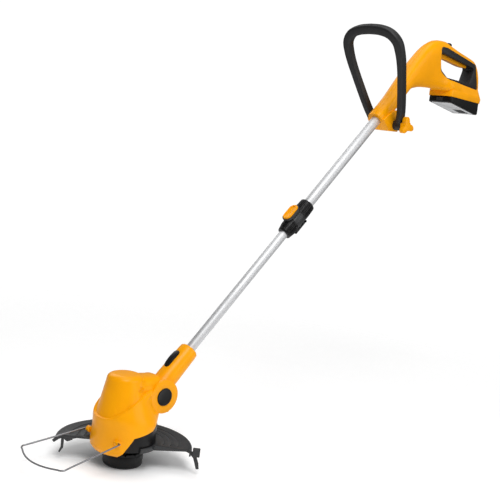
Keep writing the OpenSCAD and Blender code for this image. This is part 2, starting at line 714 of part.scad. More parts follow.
// The rod locks the tilt: it drops into a notch of the toothed disc on the pivot pin.
module detent_rod() {
    color(steel) {
        along_rod(rod_s) cylinder(r = rod_r, h = rod_shoulder_s - rod_s);
        along_rod(rod_s) cylinder(r = rod_thin_r, h = rod_bore_end + 1.4 - rod_s);
    }
}
module detent_disc() {
    notch_turn = asin((lower_tube_d / 2 + 4.4) / detent_r);
    color(steel) translate([pivot_x, 0, pivot_z]) difference() {
        pin_across(detent_r, -detent_t / 2, detent_t / 2);
        pin_across(pivot_pin_r + seat, -detent_t, detent_t);
        for (k = [-2:2]) rotate([0, k * 15 - tube_angle - notch_turn, 0]) translate([detent_r - 3, -3, -2.6])
            cube([6, 6, 5.2]);
    }
}
module detent_spring() {
    color(steel) along_rod(rod_shoulder_s + 0.05) coil(1.75, 0.3, rod_bore_end - rod_shoulder_s - 0.1, 5);
}

// ---- telescopic clamp ----

collar_len = clamp_len / 3;
clamp_r = 19;
module ribbed_collar(end_r, height) {
    difference() {
        union() {
            rotate_extrude() polygon([[0, 0], [clamp_r - 1, 0], [clamp_r, 2], [clamp_r, height * 0.45],
                [end_r + 1.5, height - 1.5], [end_r, height], [0, height]]);
        }
        for (a = [0:15:345]) rotate([0, 0, a + 7.5]) translate([clamp_r - 1.5, -1, 4])
            cube([6, 2, height]);
    }
}
module clamp_lower_collar() {
    color(black) along_tube(clamp_start + collar_len) mirror([0, 0, 1]) difference() {
        ribbed_collar(14.5, collar_len);
        translate([0, 0, -cut]) cylinder(r = lower_tube_d / 2 + free, h = collar_len + 2 * cut);
        translate([0, 0, -cut]) cylinder(r = upper_tube_d / 2 + seat, h = collar_len - 6 + cut);
    }
}
module clamp_upper_collar() {
    color(black) along_tube(clamp_start + clamp_len - collar_len - 4) difference() {
        union() {
            ribbed_collar(16.5, collar_len + 4);
            translate([0, 0, 7]) clamp_stud();
        }
        translate([0, 0, -cut]) cylinder(r = upper_tube_d / 2 + seat, h = collar_len + 4 + 2 * cut);
    }
}
thumb_s = clamp_start + clamp_len * 0.47;
thumb_len = 44;
thumb_w = 24;
thumb_travel = 2.4;
pad_top = clamp_r + 5.5;
module clamp_body() {
    color(dark_grey) along_tube(clamp_start + collar_len) difference() {
        union() {
            cylinder(r = clamp_r - 1, h = clamp_len - 2 * collar_len - 4);
            thumb_pad();
            clamp_rail();
        }
        translate([0, 0, -cut]) cylinder(r = upper_tube_d / 2 + seat, h = clamp_len);
        at_thumb_pad() translate([0, 0, upper_tube_d / 2 + 1]) linear_extrude(20) stadium(30, 12);
        at_thumb_pad() translate([0, 0, pad_top - thumb_travel - 0.5]) linear_extrude(10)
            stadium(thumb_len + 2 * free, thumb_w + 2 * free);
    }
}
module at_thumb_pad() {
    translate([0, 0, thumb_s - clamp_start - collar_len]) rotate([0, -90, 0]) children();
}
// The pad's ends stand clear of both collars.
module thumb_pad() {
    length = clamp_len - 2 * collar_len - 4;
    intersection() {
        at_thumb_pad() translate([0, 0, clamp_r - 3]) linear_extrude(pad_top - clamp_r + 3)
            stadium(thumb_len + 5, thumb_w + 5);
        translate([-30, -20, 0]) cube([30, 40, length]);
    }
    at_thumb_pad() translate([0, 0, clamp_r + free]) linear_extrude(pad_top - clamp_r - free)
        stadium(thumb_len + 5, thumb_w + 5);
}
// The bar under the clamp stands on three webs.
module clamp_rail() {
    web = 3;
    length = clamp_len - 2 * collar_len - 4;
    translate([clamp_r + 5, -4, -6]) cube([web, 8, length + 8]);
    for (k = [0:2]) translate([clamp_r - 5, -4, k * (length - web) / 2]) cube([11, 8, web]);
}
module clamp_stud() {
    rotate([0, 90, 0]) {
        translate([0, 0, clamp_r - 5]) cylinder(r = 2.4, h = 12);
        translate([0, 0, clamp_r + 6.5]) cylinder(r = 4, h = 3);
    }
}
module clamp_button() {
    base = pad_top - 0.4;
    stem = upper_tube_d / 2 + 5.5;
    color(yellow) along_tube(thumb_s) rotate([0, -90, 0]) difference() {
        union() {
            translate([0, 0, base]) linear_extrude(2.8) stadium(thumb_len, thumb_w);
            translate([0, 0, base + 2.8]) linear_extrude(0.9) stadium(thumb_len - 1.6, thumb_w - 1.6);
            translate([0, 0, stem]) linear_extrude(base - stem + 1) stadium(20, 11);
        }
        translate([0, 0, base + 2]) linear_extrude(5) stadium(thumb_len - 9, thumb_w - 9);
    }
}
module clamp_spring() {
    color(steel) along_tube(thumb_s) rotate([0, -90, 0]) translate([0, 0, upper_tube_d / 2 + 1.05])
        coil(3.6, 0.5, 4.4, 3);
}
upper_tube_start = clamp_start + 12;
module upper_tube() {
    color(silver) along_tube(upper_tube_start)
        ring_of(upper_tube_d / 2, upper_tube_d / 2 - 1.15, handle_start + 70 - upper_tube_start);
}

// ---- rear handle ----

// Stations along the handle: top x and z, bottom x and z, half width, flare of the foot.
function handle_stations() = let (n = neck_half_w, g = grip_half_w,
    mouth = n * [sin(handle_bend), cos(handle_bend)]) [
    [-mouth[0], mouth[1], mouth[0], -mouth[1], n, 0],
    [30, 60, 56, 33, n + 0.5, 0],
    [84, 130, 98, 82, n + 1, 0],
    [118, 170, 124, 93, n + 1.5, 0],
    [150, 201, 152, 98, n + 2, 0],
    [186, 220, 184, 100, n + 2, 0],
    [222, 223, 226, 100, n + 1, 4],
    [240, 219.5, 240, 99, g + 1.5, foot_half_w - g - 4],
    [256, 215, 256, 97, g + 1, foot_half_w - g - 1],
    [300, 204.5, 300, foot_z(300), g, foot_half_w - g],
    [346, 195, 346, foot_z(346), g, foot_half_w - g],
    [364, 188, 366, foot_z(366), g, foot_half_w - g],
    [379, 166, 374, foot_z(374), g - 1, foot_half_w - g],
    [390, 134, 378, foot_z(378), g - 4, foot_half_w - g - 1]
];
foot_slope = 2.5;
function foot_z(x) = 86.5 - (x - 247) * tan(foot_slope);
function station_ring(s, inset) =
    let (up = [s[0] - s[2], s[1] - s[3]] / 2, mid = [s[0] + s[2], s[1] + s[3]] / 2,
        high = norm(up), flare = max(0, s[5]), bottom_e = 2.6 + flare * 0.5)
    [for (k = [0:16]) let (a = -90 + k * 180 / 16, v = power(sin(a), 2 / (a < 0 ? bottom_e : 2.8)),
        w = power(cos(a), 2 / (a < 0 ? bottom_e : 2.8)), half = s[4] + flare * smooth((-v - 0.35) / 0.4),
        z = v * (high - inset) / high)
        [mid[0] + up[0] * z, k == 0 || k == 16 ? 0 : max(0, half - inset) * w, mid[1] + up[1] * z]];
module handle_half_solid() {
    loft([for (s = spline(handle_stations(), 3)) station_ring(s, 0)]);
}

// The opening for the fingers: corner points with a radius each.
liner_corners = [[197, 207, 9], [224, 207, 9], [357, 181, 8], [380, 113.5, 7], [238, 127, 14],
    [203, 145, 14], [197, 175, 12]];
hole_corners = [[203, 192, 7], [353, 170, 6], [339, 129, 8], [238, 133, 12], [209, 149, 14],
    [202, 175, 9]];
// A closed outline with every corner rounded to its own radius.
function rounded(corners, inset) = [for (i = [0:len(corners) - 1])
    let (n = len(corners), p = corners[i], a = corners[(i + n - 1) % n], b = corners[(i + 1) % n],
        u = [a[0] - p[0], a[1] - p[1]] / norm([a[0] - p[0], a[1] - p[1]]),
        w = [b[0] - p[0], b[1] - p[1]] / norm([b[0] - p[0], b[1] - p[1]]),
        half = acos(u * w) / 2, middle = (u + w) / norm(u + w),
        corner = [p[0], p[1]] + middle * inset / sin(half),
        r = max(1, p[2] - inset), centre = corner + middle * r / sin(half), sweep = 180 - 2 * half,
        from = atan2(-middle[1], -middle[0]), turn = sign(u[0] * w[1] - u[1] * w[0]))
    for (k = [0:5]) let (way = from + turn * sweep * (0.5 - k / 5)) centre + r * [cos(way), sin(way)]];

trigger_x = 209;
trigger_z = 193;
trigger_half_w = 7.5;
lock_x = 248;
loop_x = 44;
loop_z = -6;
boss_half_w = 26;
boss_low_z = -22;
battery_x0 = 243;
battery_front = 15.5;   // depth of the battery below its seam at the front
battery_low = 31;       // and at the rear
pack_z = 93;            // level that the pack's shoulders are measured from
pack_half_w = battery_w / 2 - 3;

module loop_boss() {
    across(0, boss_half_w) polygon([[-2, 2], [8, -16], [16, boss_low_z], [54, boss_low_z],
        [60, -14], [61, 12], [50, 30], [30, 26]]);
}
// The foot's straight wall round the battery
foot_x0 = battery_x0 - 3;
foot_x1 = battery_x0 + battery_len + 4;
module foot() {
    intersection() {
        across(0, foot_half_w) polygon([[foot_x0, foot_z(foot_x0)], [foot_x0, 99], [foot_x0 + 8, 104],
            [foot_x1 - 12, 97], [foot_x1, 90], [foot_x1, foot_z(foot_x1)]]);
        translate([(foot_x0 + foot_x1) / 2, 0, 0]) rounded_box([foot_x1 - foot_x0, 2 * foot_half_w, 200], 8);
    }
}
module handle_half(screw_side) {
    difference() {
        union() {
            handle_half_solid();
            loop_boss();
            foot();
        }
        across(-1, 60) polygon(rounded(liner_corners, 0));
        rotate([0, 90 - handle_bend, 0]) translate([0, 0, -30])
            cylinder(r = upper_tube_d / 2 + seat, h = 102);
        rotate([0, 90 - handle_bend, 0]) translate([-60, -60, -40]) cube([120, 120, 40]);
        translate([loop_x, 0, loop_z]) pin_across(4 + running, -1, 60);
        trigger_room();
        lock_room();
        battery_room();
        switch_room();
        for (p = screw_places) translate([p[0], 0, p[1]]) {
            pin_across(1.8, -1, screw_side ? 60 : p[2] + free);
            if (screw_side) pin_across(3.6, p[2], 60);
        }
    }
}
screw_places = [[74, 100, 13], [156, 186, 14], [150, 120, 14], [376.5, 148, 11]];
module handle_left() {
    color(yellow) at_handle() mirror([0, 1, 0]) handle_half(false);
}
module handle_right() {
    color(yellow) at_handle() handle_half(true);
}

// Room over the trigger for its travel
module trigger_room() {
    half = trigger_half_w + free;
    across(-half, half) polygon([[trigger_x - 9, 178], [trigger_x - 9, 203], [trigger_x + 26, 203],
        [343, 190.5], [343, 167], [306, 161]]);
}
module lock_room() {
    translate([lock_x, 0, 204.5]) rounded_box([lock_len + 2 * free, lock_w + 2 * free, 40], 7);
}
lock_len = 19;
lock_w = 16;
switch_x = 271;
module switch_room() {
    translate([switch_x - 10 - seat, -5 - seat, 185]) cube([20 + 2 * seat, 10 + 2 * seat, 19 + seat]);
}
module battery_room() {
    half = pack_half_w + free;
    rear = battery_x0 + battery_len - 8 + free;
    across(-half, half) polygon([[battery_x0 + 3 - free, 60], [battery_x0 + 3 - free, pack_z + 9],
        [battery_x0 + 12 - free, pack_z + 19], [rear, pack_z + 5], [rear, 60]]);
    translate([battery_x0 + 20 - seat, -16 - seat, 100])
        cube([22 + 2 * seat, 32 + 2 * seat, terminal_z + 3 + seat - 100]);
}
terminal_z = pack_z + 16.5;

module grip_liner() {
    color(black) at_handle() difference() {
        across(-liner_half_w, liner_half_w) polygon(rounded(liner_corners, seat));
        across(-liner_half_w - 1, liner_half_w + 1) polygon(rounded(hole_corners, 0));
        trigger_room();
        switch_room();
        lock_room();
    }
}

module trigger() {
    color(yellow) at_handle() difference() {
        across(-trigger_half_w, trigger_half_w) polygon(concat(
            [for (a = [100:20:240]) [trigger_x, trigger_z] + 6 * [cos(a), sin(a)]],
            [[trigger_x + 6, 179], [240, 177.5], [302, 169]],
            [for (a = [-80:20:60]) [325, 173.5] + 5.5 * [cos(a), sin(a)]],
            [[302, 183], [trigger_x + 16, 193.5]]));
        translate([trigger_x, 0, trigger_z]) pin_across(2 + running, -20, 20);
    }
}
module trigger_pin() {
    color(steel) at_handle() translate([trigger_x, 0, trigger_z])
        pin_across(2, -trigger_half_w - free, trigger_half_w + free);
}
module trigger_spring() {
    color(steel) at_handle() translate([296, 0, 184.5]) coil(3, 0.5, 10.8, 4);
}
module lock_button() {
    top = 221.5;
    crown_r = 26;
    color(black) at_handle() translate([lock_x, 0, 0]) intersection() {
        translate([0, 0, 211]) rounded_box([lock_len, lock_w, 40], 6.6);
        translate([-6, 0, top - crown_r]) pin_across(crown_r, -20, 20);
    }
}
module lock_spring() {
    color(steel) at_handle() translate([lock_x, 0, 204.55]) coil(3, 0.5, 6.4, 3);
}
module power_switch() {
    color(black) at_handle() translate([switch_x, 0, 0]) {
        translate([-10, -5, 194]) cube([20, 10, 10]);
        translate([2, -2, 192.6]) cube([3, 4, 2]);
    }
}
module terminal_block() {
    color(black) at_handle() translate([battery_x0 + 20, 0, terminal_z]) {
        translate([0, -16, 0]) cube([22, 32, 3]);
        for (y = [-10, 0, 10]) translate([4, y - 0.5, -10.5]) cube([12, 1, 11]);
    }
}
module handle_screws() {
    color(steel) at_handle() for (p = screw_places) translate([p[0], 0, p[1]]) {
        pin_across(1.75, -p[2] - 0.2, p[2] + 0.1);
        pin_across(3.3, p[2], p[2] + 2.3);
    }
}

// ---- front loop ----

hub_gap = boss_half_w + free;
hub_w = 23;
leg_w = 17;
bar_w = 23;
spot_r = 25;
module at_loop() {
    at_handle() translate([loop_x, 0, loop_z]) rotate([0, -loop_lean, 0]) children();
}
function loop_points() = let (w = loop_half_w, y0 = hub_gap + hub_w / 2 + 2) [
    [y0, 2], [lerp(y0, w, 0.31), loop_h * 0.163], [lerp(y0, w, 0.62), loop_h * 0.375],
    [lerp(y0, w, 0.93), loop_h * 0.63],
    [w, loop_h * 0.775], [w * 0.955, loop_h * 0.875], [w * 0.74, loop_h * 0.953],
    [w * 0.4, loop_h * 0.99], [0, loop_h]];
module loop_handle() {
    half = spline(loop_points(), 4);
    path = concat(half, [for (k = [len(half) - 2:-1:0]) [-half[k][0], half[k][1]]]);
    color(black) at_loop() difference() {
        union() {
            loft([for (i = [0:len(path) - 1]) let (a = path[max(i - 1, 0)],
                b = path[min(i + 1, len(path) - 1)], way = atan2(b[1] - a[1], b[0] - a[0]),
                wide = lerp(leg_w, bar_w, smooth((path[i][1] - loop_h / 2) / 100)))
                [for (k = [0:11]) let (t = 15 + 30 * k, u = wide / 2 * power(cos(t), 0.6),
                    v = loop_t / 2 * power(sin(t), 0.6))
                    [-v, path[i][0] + u * sin(way), path[i][1] - u * cos(way)]]]);
            for (side = [-1, 1]) translate([0, side > 0 ? hub_gap : -hub_gap - hub_w, 0])
                pin_across(loop_hub_r, 0, hub_w);
        }
        pin_across(4 + running, -100, 100);
        translate([-20, -hub_gap, -20]) cube([40, 2 * hub_gap, 40]);
        translate([0, -hub_gap - hub_w - 40, 0]) pin_across(spot_r, 0, 40);
        translate([0, hub_gap + hub_w - 6, 0]) rotate([-90, 0, 0]) cylinder(r = 7.3, h = 30, $fn = 6);
    }
}
module loop_bolt() {
    end = hub_gap + hub_w;
    color(steel) at_loop() {
        pin_across(4, -end - 12, end - 5);
        translate([0, end - 5.9, 0]) rotate([-90, 0, 0]) cylinder(r = 6.9, h = 5, $fn = 6);
    }
}
lobe_turn = 105 - loop_lean;
module wing_knob() {
    end = hub_gap + hub_w + free;
    color(yellow) at_loop() translate([0, -end, 0]) rotate([90, 0, 0]) difference() {
        union() {
            cylinder(r = 11, h = 16);
            translate([0, 0, 5]) linear_extrude(11) polygon([for (k = [0:59]) let (a = k * 6)
                (15.5 + 7.5 * power(cos(3 * (a - lobe_turn)), 1.1)) * [cos(a), sin(a)]]);
        }
        translate([0, 0, -cut]) cylinder(r = 4 + running, h = 14);
    }
}

// ---- battery ----

module battery_case() {
    x0 = battery_x0;
    x1 = battery_x0 + battery_len;
    half = battery_w / 2;
    color(black) at_handle() difference() {
        union() {
            intersection() {
                across(-half, half) polygon([
                    [x0 + 1, foot_z(x0) - free], [x0, foot_z(x0) - battery_front + 2],
                    [x0 + 3, foot_z(x0) - battery_front], [x1 - 10, foot_z(x1) - battery_low],
                    [x1 - 5, foot_z(x1) - battery_low + 3], [x1, foot_z(x1) - free]]);
                translate([(x0 + x1) / 2, 0, 0]) rounded_box([battery_len, battery_w, 150], 8);
            }
            across(-pack_half_w, pack_half_w) polygon([[x0 + 3, foot_z(x0) - 5], [x0 + 3, pack_z + 7],
                [x0 + 12, pack_z + 17], [x1 - 8, pack_z + 3], [x1 - 8, foot_z(x1) - 5]]);
        }
        battery_cavity();
        translate([x0 + 22, -17, pack_z + 4]) cube([40, 34, 30]);
        battery_window();
        translate([x0 - 1, -10.6, foot_z(x0) - 12.1]) cube([7.5, 21.2, 8.2]);
    }
}
function cell_place(k) = let (x = battery_x0 + 19 + k * 21) [x, 0, foot_z(x) - 0.5];
module battery_cavity() {
    for (k = [0:4]) translate(cell_place(k)) pin_across(9.4, -32.6, 32.6);
}
// The battery's sloping bottom: its length, its tilt and the frame at its middle
bottom_len = battery_len - 13;
bottom_tilt = atan2(battery_low - battery_front + foot_z(battery_x0) - foot_z(battery_x0 + battery_len),
    bottom_len);
module at_bottom() {
    translate([battery_x0 + 3, 0, foot_z(battery_x0) - battery_front]) rotate([0, bottom_tilt, 0])
        translate([bottom_len / 2 / cos(bottom_tilt), 0, 0]) children();
}
module battery_window() {
    at_bottom() translate([0, 0, -4]) rounded_box([bottom_len - 7, battery_w - 10, 6.5], 6);
}
module battery_base() {
    color(pale_grey) at_handle() at_bottom() difference() {
        translate([0, 0, -1]) rounded_box([bottom_len - 7.2, battery_w - 10.2, 3.4], 6);
        translate([30, -6, -2]) rounded_box([36, 30, 2.2], 3);
    }
}
module battery_cells() {
    color([0.2, 0.45, 0.7]) at_handle() for (k = [0:4]) translate(cell_place(k))
        pin_across(9.35, -32.5, 32.5);
}
module battery_contacts() {
    color(silver) at_handle() translate([battery_x0 + 23, 0, pack_z + 4]) for (y = [-10, 0, 10])
        for (side = [-1, 1]) translate([2, y + side * 1.6 - 0.5, 0]) cube([12, 1, 6.5]);
}
module battery_latch() {
    color(dark_grey) at_handle() translate([battery_x0 + 2, 0, foot_z(battery_x0) - 12]) difference() {
        translate([-2.4, -10.5, 0]) cube([3.6, 21, 8]);
        for (k = [0:2]) translate([-3.4, -9, 1.4 + k * 2]) cube([1.6, 18, 0.9]);
    }
}

head_skirt();
motor_cover();
guard_mount();
guard();
line_cutter();
cutter_screw();
motor_plate();
motor_can();
motor_end_cap();
motor_bearings();
motor_armature();
motor_shaft();
drive_cup();
spool_reel();
cutting_line();
spool_spring();
spool_cap();
line_eyelets();
pivot_pin();
pivot_cap(-1);  // pivot_cap_left
pivot_cap(1);  // pivot_cap_right
head_screws();
edge_guide();
lower_sleeve();
lower_tube();
angle_button();
angle_spring();
detent_disc();
detent_rod();
detent_spring();
clamp_body();
clamp_upper_collar();
clamp_lower_collar();
clamp_button();
clamp_spring();
upper_tube();
handle_left();
handle_right();
grip_liner();
trigger();
trigger_pin();
trigger_spring();
lock_button();
lock_spring();
power_switch();
terminal_block();
handle_screws();
loop_handle();
loop_bolt();
wing_knob();
battery_case();
battery_base();
battery_cells();
battery_contacts();
battery_latch();
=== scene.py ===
"""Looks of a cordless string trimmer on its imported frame: finishes, softened shells, ribbed collars, the
front loop, bent and wound wire, screws, and the studio."""
import json
import math

import bmesh
import bpy
import numpy as np
from bpy.props import FloatProperty, FloatVectorProperty, IntProperty, PointerProperty
from mathutils import Matrix, Vector


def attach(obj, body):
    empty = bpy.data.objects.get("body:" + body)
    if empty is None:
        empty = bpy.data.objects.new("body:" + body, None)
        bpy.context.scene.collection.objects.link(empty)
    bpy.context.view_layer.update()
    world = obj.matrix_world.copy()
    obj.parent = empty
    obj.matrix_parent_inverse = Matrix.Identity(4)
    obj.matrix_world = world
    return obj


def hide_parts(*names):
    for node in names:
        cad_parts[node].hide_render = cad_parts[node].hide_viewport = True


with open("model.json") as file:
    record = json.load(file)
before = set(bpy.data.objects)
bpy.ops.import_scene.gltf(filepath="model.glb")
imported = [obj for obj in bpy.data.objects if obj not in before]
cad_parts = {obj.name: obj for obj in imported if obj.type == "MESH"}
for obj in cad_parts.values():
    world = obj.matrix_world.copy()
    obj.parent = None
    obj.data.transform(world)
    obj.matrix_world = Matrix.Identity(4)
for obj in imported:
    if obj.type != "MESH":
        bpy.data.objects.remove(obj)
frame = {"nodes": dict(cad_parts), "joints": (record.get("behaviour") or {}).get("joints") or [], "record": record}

bl_info = {
    "name": "String trimmer looks",
    "version": (1, 0, 0),
    "blender": (4, 5, 0),
    "location": "View3D > Sidebar > Trimmer",
    "description": "Dresses the packed frame of a cordless string trimmer",
    "category": "Object",
}

NODES = frame["nodes"]
RECORD = frame["record"]
JOINTS = {joint["name"]: joint for joint in frame["joints"]}
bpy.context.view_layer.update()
NODE_SLOT = {part["node"]: part["material_slot"] for part in RECORD["subparts"]}
NODE_BODY = {node: body for body, nodes in RECORD["behaviour"]["bodies"].items() for node in nodes}

UP = Vector((0, 0, 1))
ACROSS = Vector((0, 1, 0))
SHAFT = Vector(JOINTS["telescope"]["axis"]).normalized()
SHAFT_UP = Vector((-SHAFT.z, 0, SHAFT.x))
PIVOT = Vector(JOINTS["head_tilt"]["pos_m"])
GUIDE_HINGE = Vector(JOINTS["guide_swing"]["pos_m"])
LOOP_HUB = Vector(JOINTS["loop_tilt"]["pos_m"])
HUB_IN_HANDLE = Vector((0.044, 0, -0.006))
HANDLE = LOOP_HUB - HUB_IN_HANDLE
HARD_EDGE = 38  # degrees; an edge sharper than this stays a hard one
DUST_COLOUR = (0.45, 0.42, 0.36, 1)
WHITE = (1, 1, 1, 1)
FLOAT = "NodeSocketFloat"
VECTOR = "NodeSocketVector"


# ---------------------------------------------------------------- shader groups


def feed(tree, value, socket):
    """Link a socket to another one, or set a plain value on it."""
    if isinstance(value, bpy.types.NodeSocket):
        tree.links.new(value, socket)
    else:
        socket.default_value = value


def new_group(name, inputs, outputs):
    """An empty shader group with its sockets and its two end nodes."""
    group = bpy.data.node_groups.new(name, "ShaderNodeTree")
    for label, kind, value in inputs:
        socket = group.interface.new_socket(label, in_out="INPUT", socket_type=kind)
        socket.default_value = value
    for label in outputs:
        group.interface.new_socket(label, in_out="OUTPUT", socket_type=FLOAT)
    return group, group.nodes.new("NodeGroupInput").outputs, group.nodes.new("NodeGroupOutput").inputs


def math_node(tree, operation, *values, clamp=False):
    """The result of one sum or product."""
    node = tree.nodes.new("ShaderNodeMath")
    node.operation = operation
    node.use_clamp = clamp
    for value, socket in zip(values, node.inputs):
        feed(tree, value, socket)
    return node.outputs[0]


def noise(tree, place, scale, detail=2.0, rough=0.5):
    """Cloudy noise with values round a half."""
    node = tree.nodes.new("ShaderNodeTexNoise")
    for label, value in (("Vector", place), ("Scale", scale), ("Detail", detail), ("Roughness", rough)):
        feed(tree, value, node.inputs[label])
    return node.outputs["Fac"]


def remap(tree, value, low, high, out_low, out_high):
    """A value with the range from low to high stretched to another one."""
    node = tree.nodes.new("ShaderNodeMapRange")
    labels = ("Value", "From Min", "From Max", "To Min", "To Max")
    for label, number in zip(labels, (value, low, high, out_low, out_high)):
        feed(tree, number, node.inputs[label])
    return node.outputs["Result"]


def moulded_skin_group():
    """Spark-eroded mould texture, slow flow waves and rubbed patches of a plastic skin."""
    group, given, result = new_group(
        "moulded skin",
        [("Vector", VECTOR, (0, 0, 0)), ("Grain Scale", FLOAT, 2600.0), ("Roughness", FLOAT, 0.35),
         ("Variation", FLOAT, 0.08)],
        ["Height", "Roughness", "Shade"])
    grain = noise(group, given["Vector"], given["Grain Scale"], 2.0, 0.6)
    flow = noise(group, given["Vector"], 22.0, 3.0)
    rubbed = noise(group, given["Vector"], 60.0, 4.0, 0.62)
    swing = math_node(group, "MULTIPLY", math_node(group, "SUBTRACT", rubbed, 0.5), given["Variation"])
    rough = math_node(group, "MULTIPLY_ADD", swing, 2.0, given["Roughness"], clamp=True)
    feed(group, math_node(group, "MULTIPLY_ADD", flow, 0.35, grain), result["Height"])
    feed(group, rough, result["Roughness"])
    feed(group, remap(group, flow, 0.25, 0.75, 0.93, 1.04), result["Shade"])
    return group


def drawn_metal_group():
    """Fine draw lines along the local Z of a metal surface, and faint handling marks."""
    group, given, result = new_group(
        "drawn metal",
        [("Vector", VECTOR, (0, 0, 0)), ("Roughness", FLOAT, 0.3)],
        ["Height", "Roughness", "Shade"])
    stretched = group.nodes.new("ShaderNodeMapping")
    stretched.inputs["Scale"].default_value = (900, 900, 14)
    feed(group, given["Vector"], stretched.inputs["Vector"])
    lines = noise(group, stretched.outputs["Vector"], 1.0, 3.0, 0.6)
    marks = noise(group, given["Vector"], 18.0, 4.0, 0.65)
    rough = math_node(group, "ADD", given["Roughness"], remap(group, lines, 0.3, 0.7, -0.05, 0.06))
    rough = math_node(group, "ADD", rough, remap(group, marks, 0.35, 0.7, -0.03, 0.07), clamp=True)
    feed(group, lines, result["Height"])
    feed(group, rough, result["Roughness"])
    feed(group, remap(group, lines, 0.3, 0.7, 0.94, 1.03), result["Shade"])
    return group


def dust_group():
    """Where fine dust lies: on what faces up, broken by noise."""
    group, given, result = new_group(
        "fine dust", [("Vector", VECTOR, (0, 0, 0)), ("Amount", FLOAT, 0.2)], ["Mask"])
    geometry = group.nodes.new("ShaderNodeNewGeometry")
    split = group.nodes.new("ShaderNodeSeparateXYZ")
    feed(group, geometry.outputs["Normal"], split.inputs["Vector"])
    level = remap(group, split.outputs["Z"], 0.1, 1.0, 0.15, 1.0)
    patch = remap(group, noise(group, given["Vector"], 45.0, 5.0, 0.65), 0.42, 0.72, 0.0, 1.0)
    lies = math_node(group, "MULTIPLY", level, patch)
    feed(group, math_node(group, "MULTIPLY", lies, given["Amount"], clamp=True), result["Mask"])
    return group


SKIN = moulded_skin_group()
DRAWN = drawn_metal_group()
DUST = dust_group()


# ---------------------------------------------------------------- materials


def use_group(tree, group, **values):
    """A shader group's outputs, with its inputs set or linked by name."""
    node = tree.nodes.new("ShaderNodeGroup")
    node.node_tree = group
    for label, value in values.items():
        feed(tree, value, node.inputs[label.replace("_", " ")])
    return node.outputs


def place_node(tree, turn=(0, 0, 0)):
    """Object coordinates, turned so that a pattern can follow a slanting piece."""
    coordinates = tree.nodes.new("ShaderNodeTexCoord")
    mapping = tree.nodes.new("ShaderNodeMapping")
    mapping.inputs["Rotation"].default_value = turn
    feed(tree, coordinates.outputs["Object"], mapping.inputs["Vector"])
    return mapping.outputs["Vector"]


def blank_material(name):
    """A new material with its tree and its shader."""
    material = bpy.data.materials.new(name)
    material.use_nodes = True
    return material, material.node_tree, material.node_tree.nodes["Principled BSDF"]


def shaded_colour(tree, colour, shade, dust=None):
    """The base colour times a slow shade, with dust over it."""
    mix = tree.nodes.new("ShaderNodeMix")
    mix.data_type = "RGBA"
    mix.blend_type = "MULTIPLY"
    mix.inputs["Factor"].default_value = 1.0
    mix.inputs["A"].default_value = (*colour, 1)
    feed(tree, shade, mix.inputs["B"])
    if dust is None:
        return mix.outputs["Result"]
    over = tree.nodes.new("ShaderNodeMix")
    over.data_type = "RGBA"
    feed(tree, dust, over.inputs["Factor"])
    feed(tree, mix.outputs["Result"], over.inputs["A"])
    over.inputs["B"].default_value = DUST_COLOUR
    return over.outputs["Result"]


def add_bump(tree, shader, height, depth):
    """The height of a surface pattern as bump of some depth in metres."""
    bump = tree.nodes.new("ShaderNodeBump")
    bump.inputs["Strength"].default_value = 1.0
    bump.inputs["Distance"].default_value = depth
    feed(tree, height, bump.inputs["Height"])
    feed(tree, bump.outputs["Normal"], shader.inputs["Normal"])


def moulded_plastic(name, colour, roughness, grain, depth, dust=0.0, gloss=0.5, variation=0.08):
    """A plastic or rubber skin with mould grain and, if wanted, dust."""
    material, tree, shader = blank_material(name)
    place = place_node(tree)
    skin = use_group(tree, SKIN, Vector=place, Grain_Scale=grain, Roughness=roughness, Variation=variation)
    film = use_group(tree, DUST, Vector=place, Amount=dust)["Mask"] if dust else None
    feed(tree, shaded_colour(tree, colour, skin["Shade"], film), shader.inputs["Base Color"])
    feed(tree, skin["Roughness"], shader.inputs["Roughness"])
    shader.inputs["IOR"].default_value = 1.48
    shader.inputs["Specular IOR Level"].default_value = gloss
    add_bump(tree, shader, skin["Height"], depth)
    return material


def worked_metal(name, colour, roughness, turn=(0, 0, 0), depth=0.000004):
    """Drawn, plated or blackened metal, with its draw lines turned as the piece lies."""
    material, tree, shader = blank_material(name)
    drawn = use_group(tree, DRAWN, Vector=place_node(tree, turn), Roughness=roughness)
    feed(tree, shaded_colour(tree, colour, drawn["Shade"]), shader.inputs["Base Color"])
    feed(tree, drawn["Roughness"], shader.inputs["Roughness"])
    shader.inputs["Metallic"].default_value = 1.0
    add_bump(tree, shader, drawn["Height"], depth)
    return material


def make_finishes(colours):
    """One material for each slot of the record."""
    along_tube = (0, math.atan2(SHAFT.z, SHAFT.x) - math.pi / 2, 0)
    return {
        "yellow_plastic": moulded_plastic(
            "amber shell plastic", colours.shell, 0.29, 1900, 0.000012, gloss=0.2, variation=0.04),
        "black_plastic": moulded_plastic(
            "black moulding", colours.black, 0.36, 1500, 0.00003, dust=0.01, gloss=0.25),
        "dark_grey_plastic": moulded_plastic(
            "charcoal guard plastic", colours.guard, 0.42, 1300, 0.00005, dust=0.03),
        "black_rubber": moulded_plastic(
            "soft grip rubber", colours.rubber, 0.5, 1100, 0.0001, dust=0.02, gloss=0.4),
        "pale_grey_plastic": moulded_plastic("pale battery base", colours.base, 0.3, 1500, 0.00003),
        "blue_sleeve": moulded_plastic("cell shrink sleeve", (0.05, 0.16, 0.45), 0.3, 700, 0.00001),
        "red_nylon": moulded_plastic("nylon line", (0.75, 0.1, 0.03), 0.35, 3000, 0.00001),
        "satin_aluminium": worked_metal(
            "satin anodised tube", (0.68, 0.685, 0.695), 0.58, along_tube, 0.0000008),
        "bright_steel": worked_metal("zinc plated steel", (0.24, 0.24, 0.25), 0.34, depth=0.000002),
        "copper_winding": worked_metal("enamelled winding", (0.62, 0.25, 0.1), 0.35),
        "black_steel": worked_metal("blackened steel", (0.05, 0.05, 0.055), 0.38),
    }


FINISH = {}  # filled by the first operator


# ---------------------------------------------------------------- mesh tools


